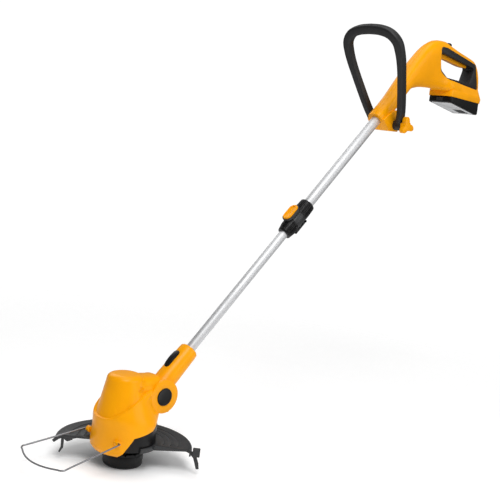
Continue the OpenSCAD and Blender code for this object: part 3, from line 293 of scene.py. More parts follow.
def in_metres(rows):
    """Rows of millimetres in metres."""
    return [tuple(number / 1000 for number in row) for row in rows]


def start_edit(mesh):
    """An open copy of a mesh, to be edited."""
    work = bmesh.new()
    work.from_mesh(mesh)
    return work


def end_edit(work, mesh):
    """Write an open copy to a mesh and close it."""
    work.to_mesh(mesh)
    work.free()
    return mesh


def new_piece(name, mesh):
    """An object at the origin, with its place in its mesh."""
    piece = bpy.data.objects.new(name, mesh)
    bpy.context.scene.collection.objects.link(piece)
    return piece


def place_piece(piece, body, slot):
    """Give a piece its finish and the body that it moves with."""
    piece.data.materials.clear()
    piece.data.materials.append(FINISH[slot])
    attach(piece, body)
    return piece


def stand_for(piece, node):
    """Put a piece in a CAD node's place, with the node's own body and finish."""
    place_piece(piece, NODE_BODY[node], NODE_SLOT[node])
    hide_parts(node)
    return piece


def plain_mesh(piece):
    """The evaluated mesh of an object, with every modifier in it."""
    graph = bpy.context.evaluated_depsgraph_get()
    return bpy.data.meshes.new_from_object(piece.evaluated_get(graph), depsgraph=graph)


def smooth_by_angle(mesh, degrees=HARD_EDGE):
    """Smooth faces, with the edges sharper than this kept hard."""
    mesh.shade_smooth()
    work = start_edit(mesh)
    limit = math.radians(degrees)
    for edge in work.edges:
        edge.smooth = len(edge.link_faces) == 2 and edge.calc_face_angle(0) < limit
    end_edit(work, mesh)


def merged_mesh(node):
    """A copy of a CAD node's mesh with its doubles merged and its flat faces joined."""
    mesh = NODES[node].data.copy()
    work = start_edit(mesh)
    bmesh.ops.remove_doubles(work, verts=work.verts, dist=2e-6)
    bmesh.ops.dissolve_limit(work, angle_limit=math.radians(0.6), verts=work.verts, edges=work.edges)
    return end_edit(work, mesh)


def round_corners(mesh, place, half_size, width):
    """Round the sharp edges in a box much more than the rest."""
    work = start_edit(mesh)
    to_box = place.inverted()
    inside = {v for v in work.verts if all(abs(p) <= h for p, h in zip(to_box @ v.co, half_size))}
    edges = [edge for edge in work.edges if len(edge.link_faces) == 2 and edge.calc_face_angle(0) > 1.0
             and inside.issuperset(edge.verts)]
    bmesh.ops.bevel(work, geom=edges, offset=width, segments=4, profile=0.5, affect="EDGES",
                    clamp_overlap=True)
    end_edit(work, mesh)


def softened(node, width, corners=None):
    """A copy of a CAD node with rounded edges of some width in millimetres that stands for it."""
    piece = new_piece(node + "_moulding", merged_mesh(node))
    if corners:
        round_corners(piece.data, *corners)
    bevel = piece.modifiers.new("edges", "BEVEL")
    bevel.width = width / 1000 * bpy.context.scene.trimmer_sizes.edge_softness
    bevel.segments = 2
    bevel.limit_method = "ANGLE"
    bevel.angle_limit = math.radians(HARD_EDGE)
    bevel.use_clamp_overlap = True
    bevel.miter_outer = "MITER_ARC"
    bevel.loop_slide = False
    rough = piece.data
    piece.data = plain_mesh(piece)
    piece.modifiers.clear()
    bpy.data.meshes.remove(rough)
    smooth_by_angle(piece.data)
    return stand_for(piece, node)


def soften_all(**widths):
    """Soften CAD nodes, each by its name with the width of its rounded edges in millimetres."""
    for node, width in widths.items():
        softened(node, width)


def lofted(rings, name):
    """A closed body through rings of points."""
    work = bmesh.new()
    rows = [[work.verts.new(point) for point in ring] for ring in rings]
    count = len(rows[0])
    for low, high in zip(rows, rows[1:]):
        for k in range(count):
            after = (k + 1) % count
            work.faces.new((low[k], low[after], high[after], high[k]))
    work.faces.new(rows[0][::-1])
    work.faces.new(rows[-1])
    bmesh.ops.remove_doubles(work, verts=work.verts, dist=1e-7)
    bmesh.ops.recalc_face_normals(work, faces=work.faces)
    return end_edit(work, bpy.data.meshes.new(name))


def lathed(profile, place, name, segments=72, pattern=None):
    """A closed body turned about the local Z of a place, from rows of radius, height and sometimes depth.

    The profile goes all round the section. The pattern gives the share of a row's depth that is taken off
    its radius at an angle.
    """
    work = bmesh.new()
    rows = []
    for radius, height, *depth in profile:
        if radius < 1e-7:
            rows.append([work.verts.new(place @ Vector((0, 0, height)))])
            continue
        row = []
        for k in range(segments):
            a = 2 * math.pi * k / segments
            r = radius - depth[0] * pattern(a) if depth else radius
            row.append(work.verts.new(place @ Vector((r * math.cos(a), r * math.sin(a), height))))
        rows.append(row)
    for low, high in zip(rows, rows[1:] + rows[:1]):
        if len(low) == 1 and len(high) == 1:
            continue
        for k in range(segments):
            after = (k + 1) % segments
            face = [low[k % len(low)], low[after % len(low)], high[after % len(high)], high[k % len(high)]]
            work.faces.new(list(dict.fromkeys(face)))
    bmesh.ops.recalc_face_normals(work, faces=work.faces)
    return end_edit(work, bpy.data.meshes.new(name))


def round_sheet(radius, height, name):
    """A flat round sheet that faces up."""
    mesh = bpy.data.meshes.new(name)
    angles = [math.radians(k * 5) for k in range(72)]
    rim = [(radius * math.cos(a), radius * math.sin(a), height) for a in angles]
    mesh.from_pydata(rim, [], [tuple(range(len(rim)))])
    return mesh


def joined(meshes, name):
    """Several closed meshes as one. The meshes themselves are used up."""
    work = bmesh.new()
    for mesh in meshes:
        work.from_mesh(mesh)
        bpy.data.meshes.remove(mesh)
    return end_edit(work, bpy.data.meshes.new(name))


def native(meshes, node, degrees=HARD_EDGE):
    """A piece made here that stands for a CAD node."""
    piece = new_piece(node + "_look", joined(meshes, node + "_look"))
    smooth_by_angle(piece.data, degrees)
    return stand_for(piece, node)


# ---------------------------------------------------------------- lines and places


def spline(points, steps):
    """A smooth line through points, with some steps between each two."""
    p = [np.array(point, float) for point in points]
    line = []
    for i in range(len(p) - 1):
        a, b, c, d = p[max(i - 1, 0)], p[i], p[i + 1], p[min(i + 2, len(p) - 1)]
        for k in range(steps):
            t = k / steps
            line.append(0.5 * (2 * b + (c - a) * t + (2 * a - 5 * b + 4 * c - d) * t * t
                               + (3 * b - a - 3 * c + d) * t ** 3))
    return [tuple(point) for point in line + [p[-1]]]


def smoothstep(t):
    """A share from 0 to 1 with a soft start and end."""
    t = min(max(t, 0.0), 1.0)
    return t * t * (3 - 2 * t)


def power(value, exponent):
    """A value's size raised to an exponent, with the value's own sign."""
    return math.copysign(abs(value) ** exponent, value)


def turned_to(direction, place):
    """A place whose local Z points along a direction."""
    turn = Vector(direction).to_track_quat("Z", "Y").to_matrix().to_4x4()
    return Matrix.Translation(place) @ turn


def along_shaft(distance, out=0.0):
    """A point at some distance from the tilt pivot, and out from the shaft's axis towards its upper side."""
    return PIVOT + SHAFT * distance + SHAFT_UP * out


def in_handle(x, y, z):
    """A point of the rear handle's own level frame, in millimetres."""
    return HANDLE + Vector((x, y, z)) / 1000


# ---------------------------------------------------------------- geometry trees


def geometry_tree(name, inputs):
    """A tree with named inputs. What reaches its collector is realised and gets the material."""
    tree = bpy.data.node_groups.new(name, "GeometryNodeTree")
    tree.interface.new_socket("Geometry", in_out="INPUT", socket_type="NodeSocketGeometry")
    for label, kind, value in inputs:
        socket = tree.interface.new_socket(label, in_out="INPUT", socket_type=kind)
        socket.default_value = value
    tree.interface.new_socket("Material", in_out="INPUT", socket_type="NodeSocketMaterial")
    tree.interface.new_socket("Geometry", in_out="OUTPUT", socket_type="NodeSocketGeometry")
    given, result = tree.nodes.new("NodeGroupInput").outputs, tree.nodes.new("NodeGroupOutput").inputs
    realise = tree.nodes.new("GeometryNodeRealizeInstances")
    paint = tree.nodes.new("GeometryNodeSetMaterial")
    feed(tree, realise.outputs["Geometry"], paint.inputs["Geometry"])
    feed(tree, given["Material"], paint.inputs["Material"])
    feed(tree, paint.outputs["Geometry"], result["Geometry"])
    return tree, given, realise.inputs["Geometry"]


def linked(tree, kind, inputs, **settings):
    """A node's outputs, with its inputs set or linked by name."""
    node = tree.nodes.new(kind)
    for label, value in settings.items():
        setattr(node, label, value)
    for label, value in inputs.items():
        feed(tree, value, node.inputs[label])
    return node.outputs


def round_wire(tree, curve, radius, sides):
    """A curve as a round wire with closed ends."""
    circle = linked(tree, "GeometryNodeCurvePrimitiveCircle", {"Resolution": sides, "Radius": radius})
    wire = linked(tree, "GeometryNodeCurveToMesh",
                  {"Curve": curve, "Profile Curve": circle["Curve"], "Fill Caps": True})
    return wire["Mesh"]


def spring_tree():
    """A wound spring that stands on a place along its own axis."""
    tree, given, collector = geometry_tree("wound spring", [
        ("Radius", FLOAT, 0.003), ("Wire Radius", FLOAT, 0.0005), ("Height", FLOAT, 0.01),
        ("Turns", FLOAT, 4.0), ("Place", VECTOR, (0, 0, 0)), ("Turn", VECTOR, (0, 0, 0))])
    spiral = linked(tree, "GeometryNodeCurveSpiral", {
        "Resolution": 28, "Rotations": given["Turns"], "Start Radius": given["Radius"],
        "End Radius": given["Radius"], "Height": given["Height"], "Reverse": False})
    wire = round_wire(tree, spiral["Curve"], given["Wire Radius"], 10)
    moved = linked(tree, "GeometryNodeTransform", {
        "Geometry": wire, "Translation": given["Place"], "Rotation": given["Turn"]})
    feed(tree, moved["Geometry"], collector)
    return tree


def wire_tree():
    """A round wire along a guide line."""
    tree, given, collector = geometry_tree("bent wire", [("Wire Radius", FLOAT, 0.00175)])
    line = linked(tree, "GeometryNodeMeshToCurve", {"Mesh": given["Geometry"]})
    feed(tree, round_wire(tree, line["Curve"], given["Wire Radius"], 20), collector)
    return tree


def studded_tree():
    """One head on each guide point, turned to the point's own axis and stretched by its size."""
    tree, given, collector = geometry_tree("heads on points", [("Head", "NodeSocketObject", None)])
    head = linked(tree, "GeometryNodeObjectInfo", {"Object": given["Head"]})
    axis = linked(tree, "GeometryNodeInputNamedAttribute", {"Name": "axis"}, data_type="FLOAT_VECTOR")
    size = linked(tree, "GeometryNodeInputNamedAttribute", {"Name": "size"}, data_type="FLOAT_VECTOR")
    turn = linked(tree, "FunctionNodeAlignRotationToVector", {"Vector": axis["Attribute"]}, axis="Z")
    placed = linked(tree, "GeometryNodeInstanceOnPoints", {
        "Points": given["Geometry"], "Instance": head["Geometry"], "Rotation": turn["Rotation"],
        "Scale": size["Attribute"]})
    feed(tree, placed["Instances"], collector)
    return tree


SPRING = spring_tree()
WIRE = wire_tree()
STUDDED = studded_tree()


def guide_line(points, name):
    """Points joined by edges, for a tree to follow."""
    mesh = bpy.data.meshes.new(name)
    mesh.from_pydata([tuple(point) for point in points], [(k, k + 1) for k in range(len(points) - 1)], [])
    return mesh


def guide_points(placed, name):
    """Points that carry an axis and a size each."""
    places, axes, sizes = zip(*placed)
    mesh = bpy.data.meshes.new(name)
    mesh.from_pydata([tuple(place) for place in places], [], [])
    for label, vectors in (("axis", axes), ("size", sizes)):
        attribute = mesh.attributes.new(label, "FLOAT_VECTOR", "POINT")
        attribute.data.foreach_set("vector", [number for vector in vectors for number in vector])
    return mesh


def grown(tree, guide, values, node, name):
    """The plain mesh that a geometry tree makes of a guide, with the finish of a CAD node."""
    carrier = new_piece(name + "_guide", guide)
    modifier = carrier.modifiers.new("tree", "NODES")
    modifier.node_group = tree
    for item in tree.interface.items_tree:
        if item.in_out == "INPUT" and item.name == "Material":
            modifier[item.identifier] = FINISH[NODE_SLOT[node]]
        elif item.in_out == "INPUT" and item.name in values:
            modifier[item.identifier] = values[item.name]
    mesh = plain_mesh(carrier)
    carrier.modifiers.clear()
    bpy.data.objects.remove(carrier)
    bpy.data.meshes.remove(guide)
    mesh.name = name
    return mesh


def coil_mesh(node, place, axis, radius, wire, height, turns):
    """A wound wire of a node, from its lower end along an axis."""
    turn = turned_to(axis, (0, 0, 0))
    values = {"Radius": radius, "Wire Radius": wire, "Height": height - 2 * wire, "Turns": float(turns),
              "Place": tuple(place + axis.normalized() * wire), "Turn": tuple(turn.to_euler())}
    return grown(SPRING, guide_line([place], node + "_coil"), values, node, node + "_coil")


def studs(node, stud, placed, name):
    """Copies of one mesh, set by a tree at places with an axis and a size each."""
    model = new_piece(name, stud)
    mesh = grown(STUDDED, guide_points(placed, name), {"Head": model}, node, name)
    bpy.data.objects.remove(model)
    bpy.data.meshes.remove(stud)
    return mesh


def screw_head(radius, height, recess):
    """A pan head with a cross recess, on the origin along Z."""
    rim = 0.0004
    return lathed([(0, 0), (radius, 0), (radius, height - rim), (radius - rim, height - 0.0001),
                   (recess + 0.0002, height), (recess, height, recess * 0.62),
                   (recess * 0.8, height * 0.45, recess * 0.55), (0, height * 0.4)],
                  Matrix(), "screw_head", 48, lambda a: 1 - abs(math.cos(2 * a)) ** 8)


def screws(node, axis, placed, shank_radius, head):
    """Screws along an axis, from the seat of each head, the tip of each shank and the shank's length."""
    shank = lathed([(0, 0), (0.93, 0), (1, 0.04), (1, 0.96), (0.93, 1), (0, 1)], Matrix(), "shank", 24)
    heads = [(seat, axis, (1, 1, 1)) for seat, tip, length in placed]
    shanks = [(tip, axis, (shank_radius, shank_radius, length)) for seat, tip, length in placed]
    return native([studs(node, head, heads, node + "_heads"), studs(node, shank, shanks, node + "_shanks")],
                  node, 30)


# ---------------------------------------------------------------- settings


def length_property(name, description, default, low, high):
    """A length in metres that a user may change."""
    return FloatProperty(name=name, description=description, default=default, min=low, max=high,
                         subtype="DISTANCE", unit="LENGTH")


def colour_property(name, description, default):
    """A colour that a user may change."""
    return FloatVectorProperty(name=name, description=description, default=default, min=0, max=1,
                               subtype="COLOR")


def angle_property(name, description, degrees):
    """An angle that a user may change."""
    return FloatProperty(name=name, description=description, default=math.radians(degrees), subtype="ANGLE")


class TrimmerSizes(bpy.types.PropertyGroup):
    """Sizes of what is made here on the frame."""

    edge_softness: FloatProperty(
        name="Edge softness", description="Share of each moulding's own edge rounding", default=1.0, min=0.1,
        max=1.2, subtype="FACTOR")
    wire_diameter: length_property("Guide wire", "Diameter of the edge guide's wire", 0.0035, 0.002, 0.0036)
    line_diameter: length_property("Cutting line", "Diameter of the wound line", 0.00156, 0.001, 0.0018)
    loop_thickness: length_property("Loop thickness", "Front loop from front to back", 0.02, 0.014, 0.02)
    rib_count: IntProperty(
        name="Collar ribs", description="Ribs round each clamp collar", default=24, min=8, max=48)
    rib_depth: length_property("Rib depth", "Height of the clamp collars' ribs", 0.0015, 0.0002, 0.0025)


class TrimmerColours(bpy.types.PropertyGroup):
    """Colours that a user may change."""

    shell: colour_property("Shell", "Colour of the main shells", (1.0, 0.395, 0.0))
    black: colour_property("Black parts", "Colour of the black mouldings", (0.004, 0.004, 0.0045))
    guard: colour_property("Guard", "Colour of the guard", (0.022, 0.023, 0.025))
    rubber: colour_property("Grips", "Colour of the rubber grips", (0.012, 0.012, 0.013))
    base: colour_property("Battery base", "Colour of the battery's base", (0.75, 0.76, 0.78))


class StudioSettings(bpy.types.PropertyGroup):
    """Camera and light."""

    camera_place: FloatVectorProperty(
        name="Camera", description="Place of the camera", default=(-1.2055, -1.5512, 0.7099),
        subtype="TRANSLATION", unit="LENGTH")
    heading: angle_property("Heading", "Turn of the camera from +Y", -44.0)
    pitch: angle_property("Pitch", "How far the camera looks down", 6.93)
    roll: angle_property("Roll", "Roll of the camera", 6.85)
    lens: FloatProperty(
        name="Lens", description="Focal length in millimetres", default=70.55, min=10, max=300)
    key_power: FloatProperty(
        name="Key light", description="Power of the key light in watts", default=64.0, min=0)
    room_light: FloatProperty(
        name="Room light", description="Strength of the even light all round", default=0.2, min=0)


# ---------------------------------------------------------------- operators


class TRIMMER_OT_finishes(bpy.types.Operator):
    """Make the finishes and put one on every CAD node"""

    bl_idname = "trimmer.finishes"
    bl_label = "Finishes"

    def execute(self, context):
        FINISH.update(make_finishes(context.scene.trimmer_colours))
        for name, node in NODES.items():
            node.data.materials.clear()
            node.data.materials.append(FINISH[NODE_SLOT[name]])
        return {"FINISHED"}


class TRIMMER_OT_head(bpy.types.Operator):
    """Make the motor head's shells, its guard and its covers"""

    bl_idname = "trimmer.head"
    bl_label = "Motor head"

    def execute(self, context):
        guard_turn = math.radians(46)
        lug = Matrix.Rotation(guard_turn, 4, "Z") @ Matrix.Translation((-0.02, -0.15107, 0.04825))
        lug_half_size, lug_rounding = (0.0062, 0.0077, 0.0084), 0.0028
        softened("guard", 0.4, corners=(lug, lug_half_size, lug_rounding))
        soften_all(head_skirt=0.5, motor_cover=0.5, guard_mount=0.5, line_cutter=0.1, pivot_cap_left=0.3,
                   pivot_cap_right=0.3)
        self.fill_skirt_corners(bpy.data.objects["head_skirt_moulding"])
        plate, screw_circle, depth = 0.099, 0.0559, 0.021
        spots = [screw_circle * Vector((math.cos(a), math.sin(a), 0))
                 for a in (math.radians(k) for k in (60, 180, 300))]
        placed = [(spot + UP * plate, spot + UP * (plate - depth), depth + 0.0001) for spot in spots]
        screws("head_screws", UP, placed, shank_radius=0.00165,
               head=screw_head(radius=0.0035, height=0.0024, recess=0.0017))
        return {"FINISHED"}

    def fill_skirt_corners(self, skirt):
        """Close the pinholes where the skirt's wall meets the room for the sleeve."""
        lens = in_metres([(0, -1.1), (1.4, -0.9), (1.9, 0), (1.4, 0.7), (0, 1)])
        parts = [skirt.data.copy()]
        for side in (-1, 1):
            corner = turned_to((0.62, side, 0), (0.0288, side * 0.0487, 0.1148))
            parts.append(lathed(lens, corner, "corner", 20))
        skirt.data = joined(parts, "head_skirt_moulding")
        smooth_by_angle(skirt.data)
        skirt.data.materials.append(FINISH[NODE_SLOT["head_skirt"]])


class TRIMMER_OT_line_head(bpy.types.Operator):
    """Make the line spool: its cap, its drive cup, its eyelets and the wound line"""

    bl_idname = "trimmer.line_head"
    bl_label = "Line head"

    def execute(self, context):
        soften_all(spool_cap=0.4, drive_cup=0.3, line_eyelets=0.2, spool_reel=0.2)
        wire = context.scene.trimmer_sizes.line_diameter / 2
        inner, outer, low, high = 0.0152, 0.0291, 0.0049, 0.0183
        core = lathed([(inner, low), (outer, low), (outer, high), (inner, high)], Matrix(), "core")
        coil_radius, coil_start, coil_height, turns = 0.02943, 0.0048, 0.0136, 8
        wound = coil_mesh("cutting_line", UP * coil_start, UP, coil_radius, wire, coil_height, turns)
        native([core, wound], "cutting_line")
        return {"FINISHED"}


class TRIMMER_OT_edge_wire(bpy.types.Operator):
    """Bend the edge guide's wire along its path"""

    bl_idname = "trimmer.edge_wire"
    bl_label = "Edge guide"

    def execute(self, context):
        line = [GUIDE_HINGE + Vector(point) / 1000 for point in self.path()]
        radius = context.scene.trimmer_sizes.wire_diameter / 2
        wire = grown(WIRE, guide_line(line, "edge_guide"), {"Wire Radius": radius}, "edge_guide",
                     "edge_guide_wire")
        native([wire], "edge_guide", 50)
        return {"FINISHED"}

    def path(self):
        """The wire's middle line from its hinge, in millimetres: two hooked arms and a bowed front."""
        reach, drop = 144.0, 27.0
        knee, half_width, corner, bow = 58.5, 76.0, 11.0, 16.9
        slope = math.atan2(drop, reach)
        end = reach / math.cos(slope)
        straight = half_width - corner
        side = [(end * share, knee + spread)
                for share, spread in ((0, 0), (0.3, 5.3), (0.62, 10.9), (0.86, 15.2))]
        bend = [(end - corner + corner * math.sin(a), straight + corner * math.cos(a))
                for a in (math.radians(k) for k in (10, 30, 50, 70, 86))]
        front = [(end + bow * (1 - (1 - t) ** 2), straight * (1 - t)) for t in (0.12, 0.3, 0.5, 0.72, 1.0)]
        half = side + bend + front
        flat = half + [(x, -y) for x, y in half[-2::-1]]
        smooth = spline([(-x * math.cos(slope), y, -x * math.sin(slope)) for x, y in flat], 4)
        hook = [(0.0, 47.0, 0.0), (0.0, knee - 1.6, 0.0), (0.15, knee - 0.6, 0.0)]
        return hook + smooth[1:-1] + [(x, -y, z) for x, y, z in reversed(hook)]


class TRIMMER_OT_shaft(bpy.types.Operator):
    """Make the tilt sleeve with its button, the tubes and the telescopic clamp"""

    bl_idname = "trimmer.shaft"
    bl_label = "Shaft"

    def execute(self, context):
        soften_all(lower_sleeve=0.6, angle_button=0.6, clamp_body=0.4, clamp_button=0.4, lower_tube=0.3,
                   upper_tube=0.3)
        lower_start, upper_start, stud_place = along_shaft(0.505), along_shaft(0.533), along_shaft(0.54)
        sizes = context.scene.trimmer_sizes
        bore = [(12.05, 0), (12.05, 26), (10.85, 26.2), (10.85, 31.4), (11.4, 32)]
        lower = self.collar(sizes, turned_to(-SHAFT, lower_start), 32, 14.5, bore)
        native([lower], "clamp_lower_collar", 30)
        bore = [(12.05, 0), (12.05, 35.4), (12.6, 36)]
        upper = self.collar(sizes, turned_to(SHAFT, upper_start), 36, 16.5, bore)
        native([upper, self.stud(turned_to(-SHAFT_UP, stud_place))], "clamp_upper_collar", 30)
        return {"FINISHED"}

    def collar(self, sizes, place, length, end_radius, bore):
        """A collar that tapers to its end, with a plain ring at both ends and raised ribs between them."""
        full, chamfer, taper_start = 19, 1.5, length * 0.45
        first_ring, last_ring, step, levels = 2.6, length - 3.6, 0.6, 8
        taper = (end_radius + chamfer - full) / (length - chamfer - taper_start)

        def radius_at(height):
            return full + taper * max(height - taper_start, 0)

        rows = [(full - 0.8, 0), (full, 0.8), (full, first_ring)]
        for k in range(levels + 1):
            height = first_ring + step + (last_ring - first_ring - 2 * step) * k / levels
            depth = sizes.rib_depth * 1000 if 0 < k < levels else 0.0
            rows.append((radius_at(height), height, depth))
        rows += [(radius_at(height), height) for height in (last_ring, length - chamfer)]
        rows += [(end_radius + 0.9, length - 0.4), (end_radius, length)]
        return lathed(in_metres(rows + bore[::-1]), place, "collar", 10 * sizes.rib_count,
                      lambda a: 1.0 if abs(math.sin(sizes.rib_count / 2 * a)) > 0.7 else 0.0)

    def stud(self, place):
        """The round stud under the upper collar."""
        profile = [(0, 14), (2.4, 14), (2.4, 25.4), (3.3, 25.6), (3.9, 26.3), (4, 27.2), (3.8, 28),
                   (3, 28.45), (0, 28.5)]
        return lathed(in_metres(profile), place, "stud", 32)


class TRIMMER_OT_rear_handle(bpy.types.Operator):
    """Make the rear handle's halves, its liner, its trigger, its lock and its screws"""

    bl_idname = "trimmer.rear_handle"
    bl_label = "Rear handle"

    def execute(self, context):
        soften_all(handle_left=0.5, handle_right=0.5, grip_liner=0.8, trigger=1.0, lock_button=0.8)
        spots = ((74, 100, 13), (156, 186, 14), (150, 120, 14), (376.5, 148, 11))
        placed = [(in_handle(x, half, z), in_handle(x, -half - 0.2, z), (2 * half + 0.3) / 1000)
                  for x, z, half in spots]
        screws("handle_screws", ACROSS, placed, shank_radius=0.00175,
               head=screw_head(radius=0.0033, height=0.0023, recess=0.0016))
        return {"FINISHED"}


class TRIMMER_OT_front_loop(bpy.types.Operator):
    """Sweep the front loop's grip and make its knob and bolt"""

    bl_idname = "trimmer.front_loop"
    bl_label = "Front loop"

    def execute(self, context):
        soften_all(wing_knob=1.0, loop_bolt=0.3)
        bow = self.bow(242.0, context.scene.trimmer_sizes.loop_thickness * 1000)
        native([bow, self.hub(-1), self.hub(1)], "loop_handle", 40)
        return {"FINISHED"}

    def outline(self, height):
        """The bow's middle line in its own plane, in millimetres: legs that spread and a flat round top."""
        foot, wide = 39.85, 79.0
        legs = [(foot + (wide - foot) * share, height * rise)
                for share, rise in ((0.0, 0.021), (0.31, 0.163), (0.62, 0.375), (0.93, 0.63))]
        top = [(wide * share, height * rise)
               for share, rise in ((1, 0.775), (0.955, 0.875), (0.74, 0.953), (0.4, 0.99), (0, 1))]
        half = spline(legs + top, 9)
        return half + [(-y, z) for y, z in half[-2::-1]]

    def bow(self, height, thickness):
        """The grip swept along its outline, with round corners and a broader upper half."""
        lean = math.radians(27)
        up = Vector((-math.sin(lean), 0, math.cos(lean)))
        front = Vector((-math.cos(lean), 0, -math.sin(lean)))
        path = self.outline(height)
        rings = []
        for i, (y, z) in enumerate(path):
            before, after = path[max(i - 1, 0)], path[min(i + 1, len(path) - 1)]
            turn = math.atan2(after[1] - before[1], after[0] - before[0])
            breadth = 17 + 6 * smoothstep((z - height / 2) / 100)
            ring = []
            for k in range(40):
                t = 2 * math.pi * (k + 0.5) / 40
                across = breadth / 2 * power(math.cos(t), 0.5)
                deep = thickness / 2 * power(math.sin(t), 0.5)
                out = Vector((0, y + across * math.sin(turn), 0)) + up * (z - across * math.cos(turn))
                ring.append(LOOP_HUB + (out + front * deep) / 1000)
            rings.append(ring)
        return lofted(rings, "bow")

    def hub(self, side):
        """The round hub at the foot of a leg, with a recess for the bolt's nut on the one side."""
        bore, radius, seat, outer = 4.06, 12.5, 26.35, 49.35
        section = [(bore, seat), (radius - 0.6, seat), (radius, seat + 0.6), (radius, outer - 0.8),
                   (radius - 0.8, outer), (7.6, outer)]
        section += [(7.4, outer - 5.9), (bore, outer - 6)] if side > 0 else [(bore, outer)]
        return lathed(in_metres(section), turned_to((0, side, 0), LOOP_HUB), "hub", 64)


class TRIMMER_OT_battery(bpy.types.Operator):
    """Make the battery's case, its base with an inlay, and its latch"""

    bl_idname = "trimmer.battery"
    bl_label = "Battery"

    def execute(self, context):
        soften_all(battery_case=0.6, battery_base=0.4, battery_latch=0.3)
        levels = ((0.5, -0.7), (0.15, -0.55), (0.0, -0.3), (0.0, 0.15))
        rings = [self.inlay_ring(inset, level) for inset, level in levels]
        inlay = new_piece("battery_inlay", lofted(rings, "battery_inlay"))
        smooth_by_angle(inlay.data)
        place_piece(inlay, NODE_BODY["battery_base"], "dark_grey_plastic")
        return {"FINISHED"}

    def inlay_ring(self, inset, level):
        """A rounded rectangle on the slanting underside of the base, in millimetres."""
        slant = math.radians(10.26)
        along = Vector((math.cos(slant), 0, -math.sin(slant)))
        out = Vector((-along.z, 0, along.x))
        centre = in_handle(304.5, -6, 60.585) + along * 0.03
        half_length, half_width, corner = 14.7, 11.7, 2.9 - inset
        ring = []
        for side_x, side_y, start in ((1, 1, 0), (-1, 1, 90), (-1, -1, 180), (1, -1, 270)):
            for k in range(7):
                a = math.radians(start + 15 * k)
                x = side_x * half_length + corner * math.cos(a)
                y = side_y * half_width + corner * math.sin(a)
                ring.append(centre + (along * x + ACROSS * y + out * level) / 1000)
        return ring


class TRIMMER_OT_springs(bpy.types.Operator):
    """Wind every spring"""

    bl_idname = "trimmer.springs"
    bl_label = "Springs"

    def execute(self, context):
        for node, place, axis, radius, wire, height, turns in (
                ("spool_spring", UP * 0.00905, UP, 10.2, 0.7, 15.9, 4),
                ("angle_spring", along_shaft(0.0865, 0.01155), SHAFT_UP, 3.2, 0.45, 4.9, 3),
                ("detent_spring", along_shaft(0.03805, 0.0149), SHAFT, 1.75, 0.3, 9.4, 5),
                ("clamp_spring", along_shaft(0.51812, 0.01305), SHAFT_UP, 3.6, 0.5, 4.4, 3),
                ("trigger_spring", in_handle(296, 0, 184.5), UP, 3.0, 0.5, 10.8, 4),
                ("lock_spring", in_handle(248, 0, 204.55), UP, 3.0, 0.5, 6.4, 3)):
            coil = coil_mesh(node, place, axis, radius / 1000, wire / 1000, height / 1000, turns)
            native([coil], node, 60)
        return {"FINISHED"}


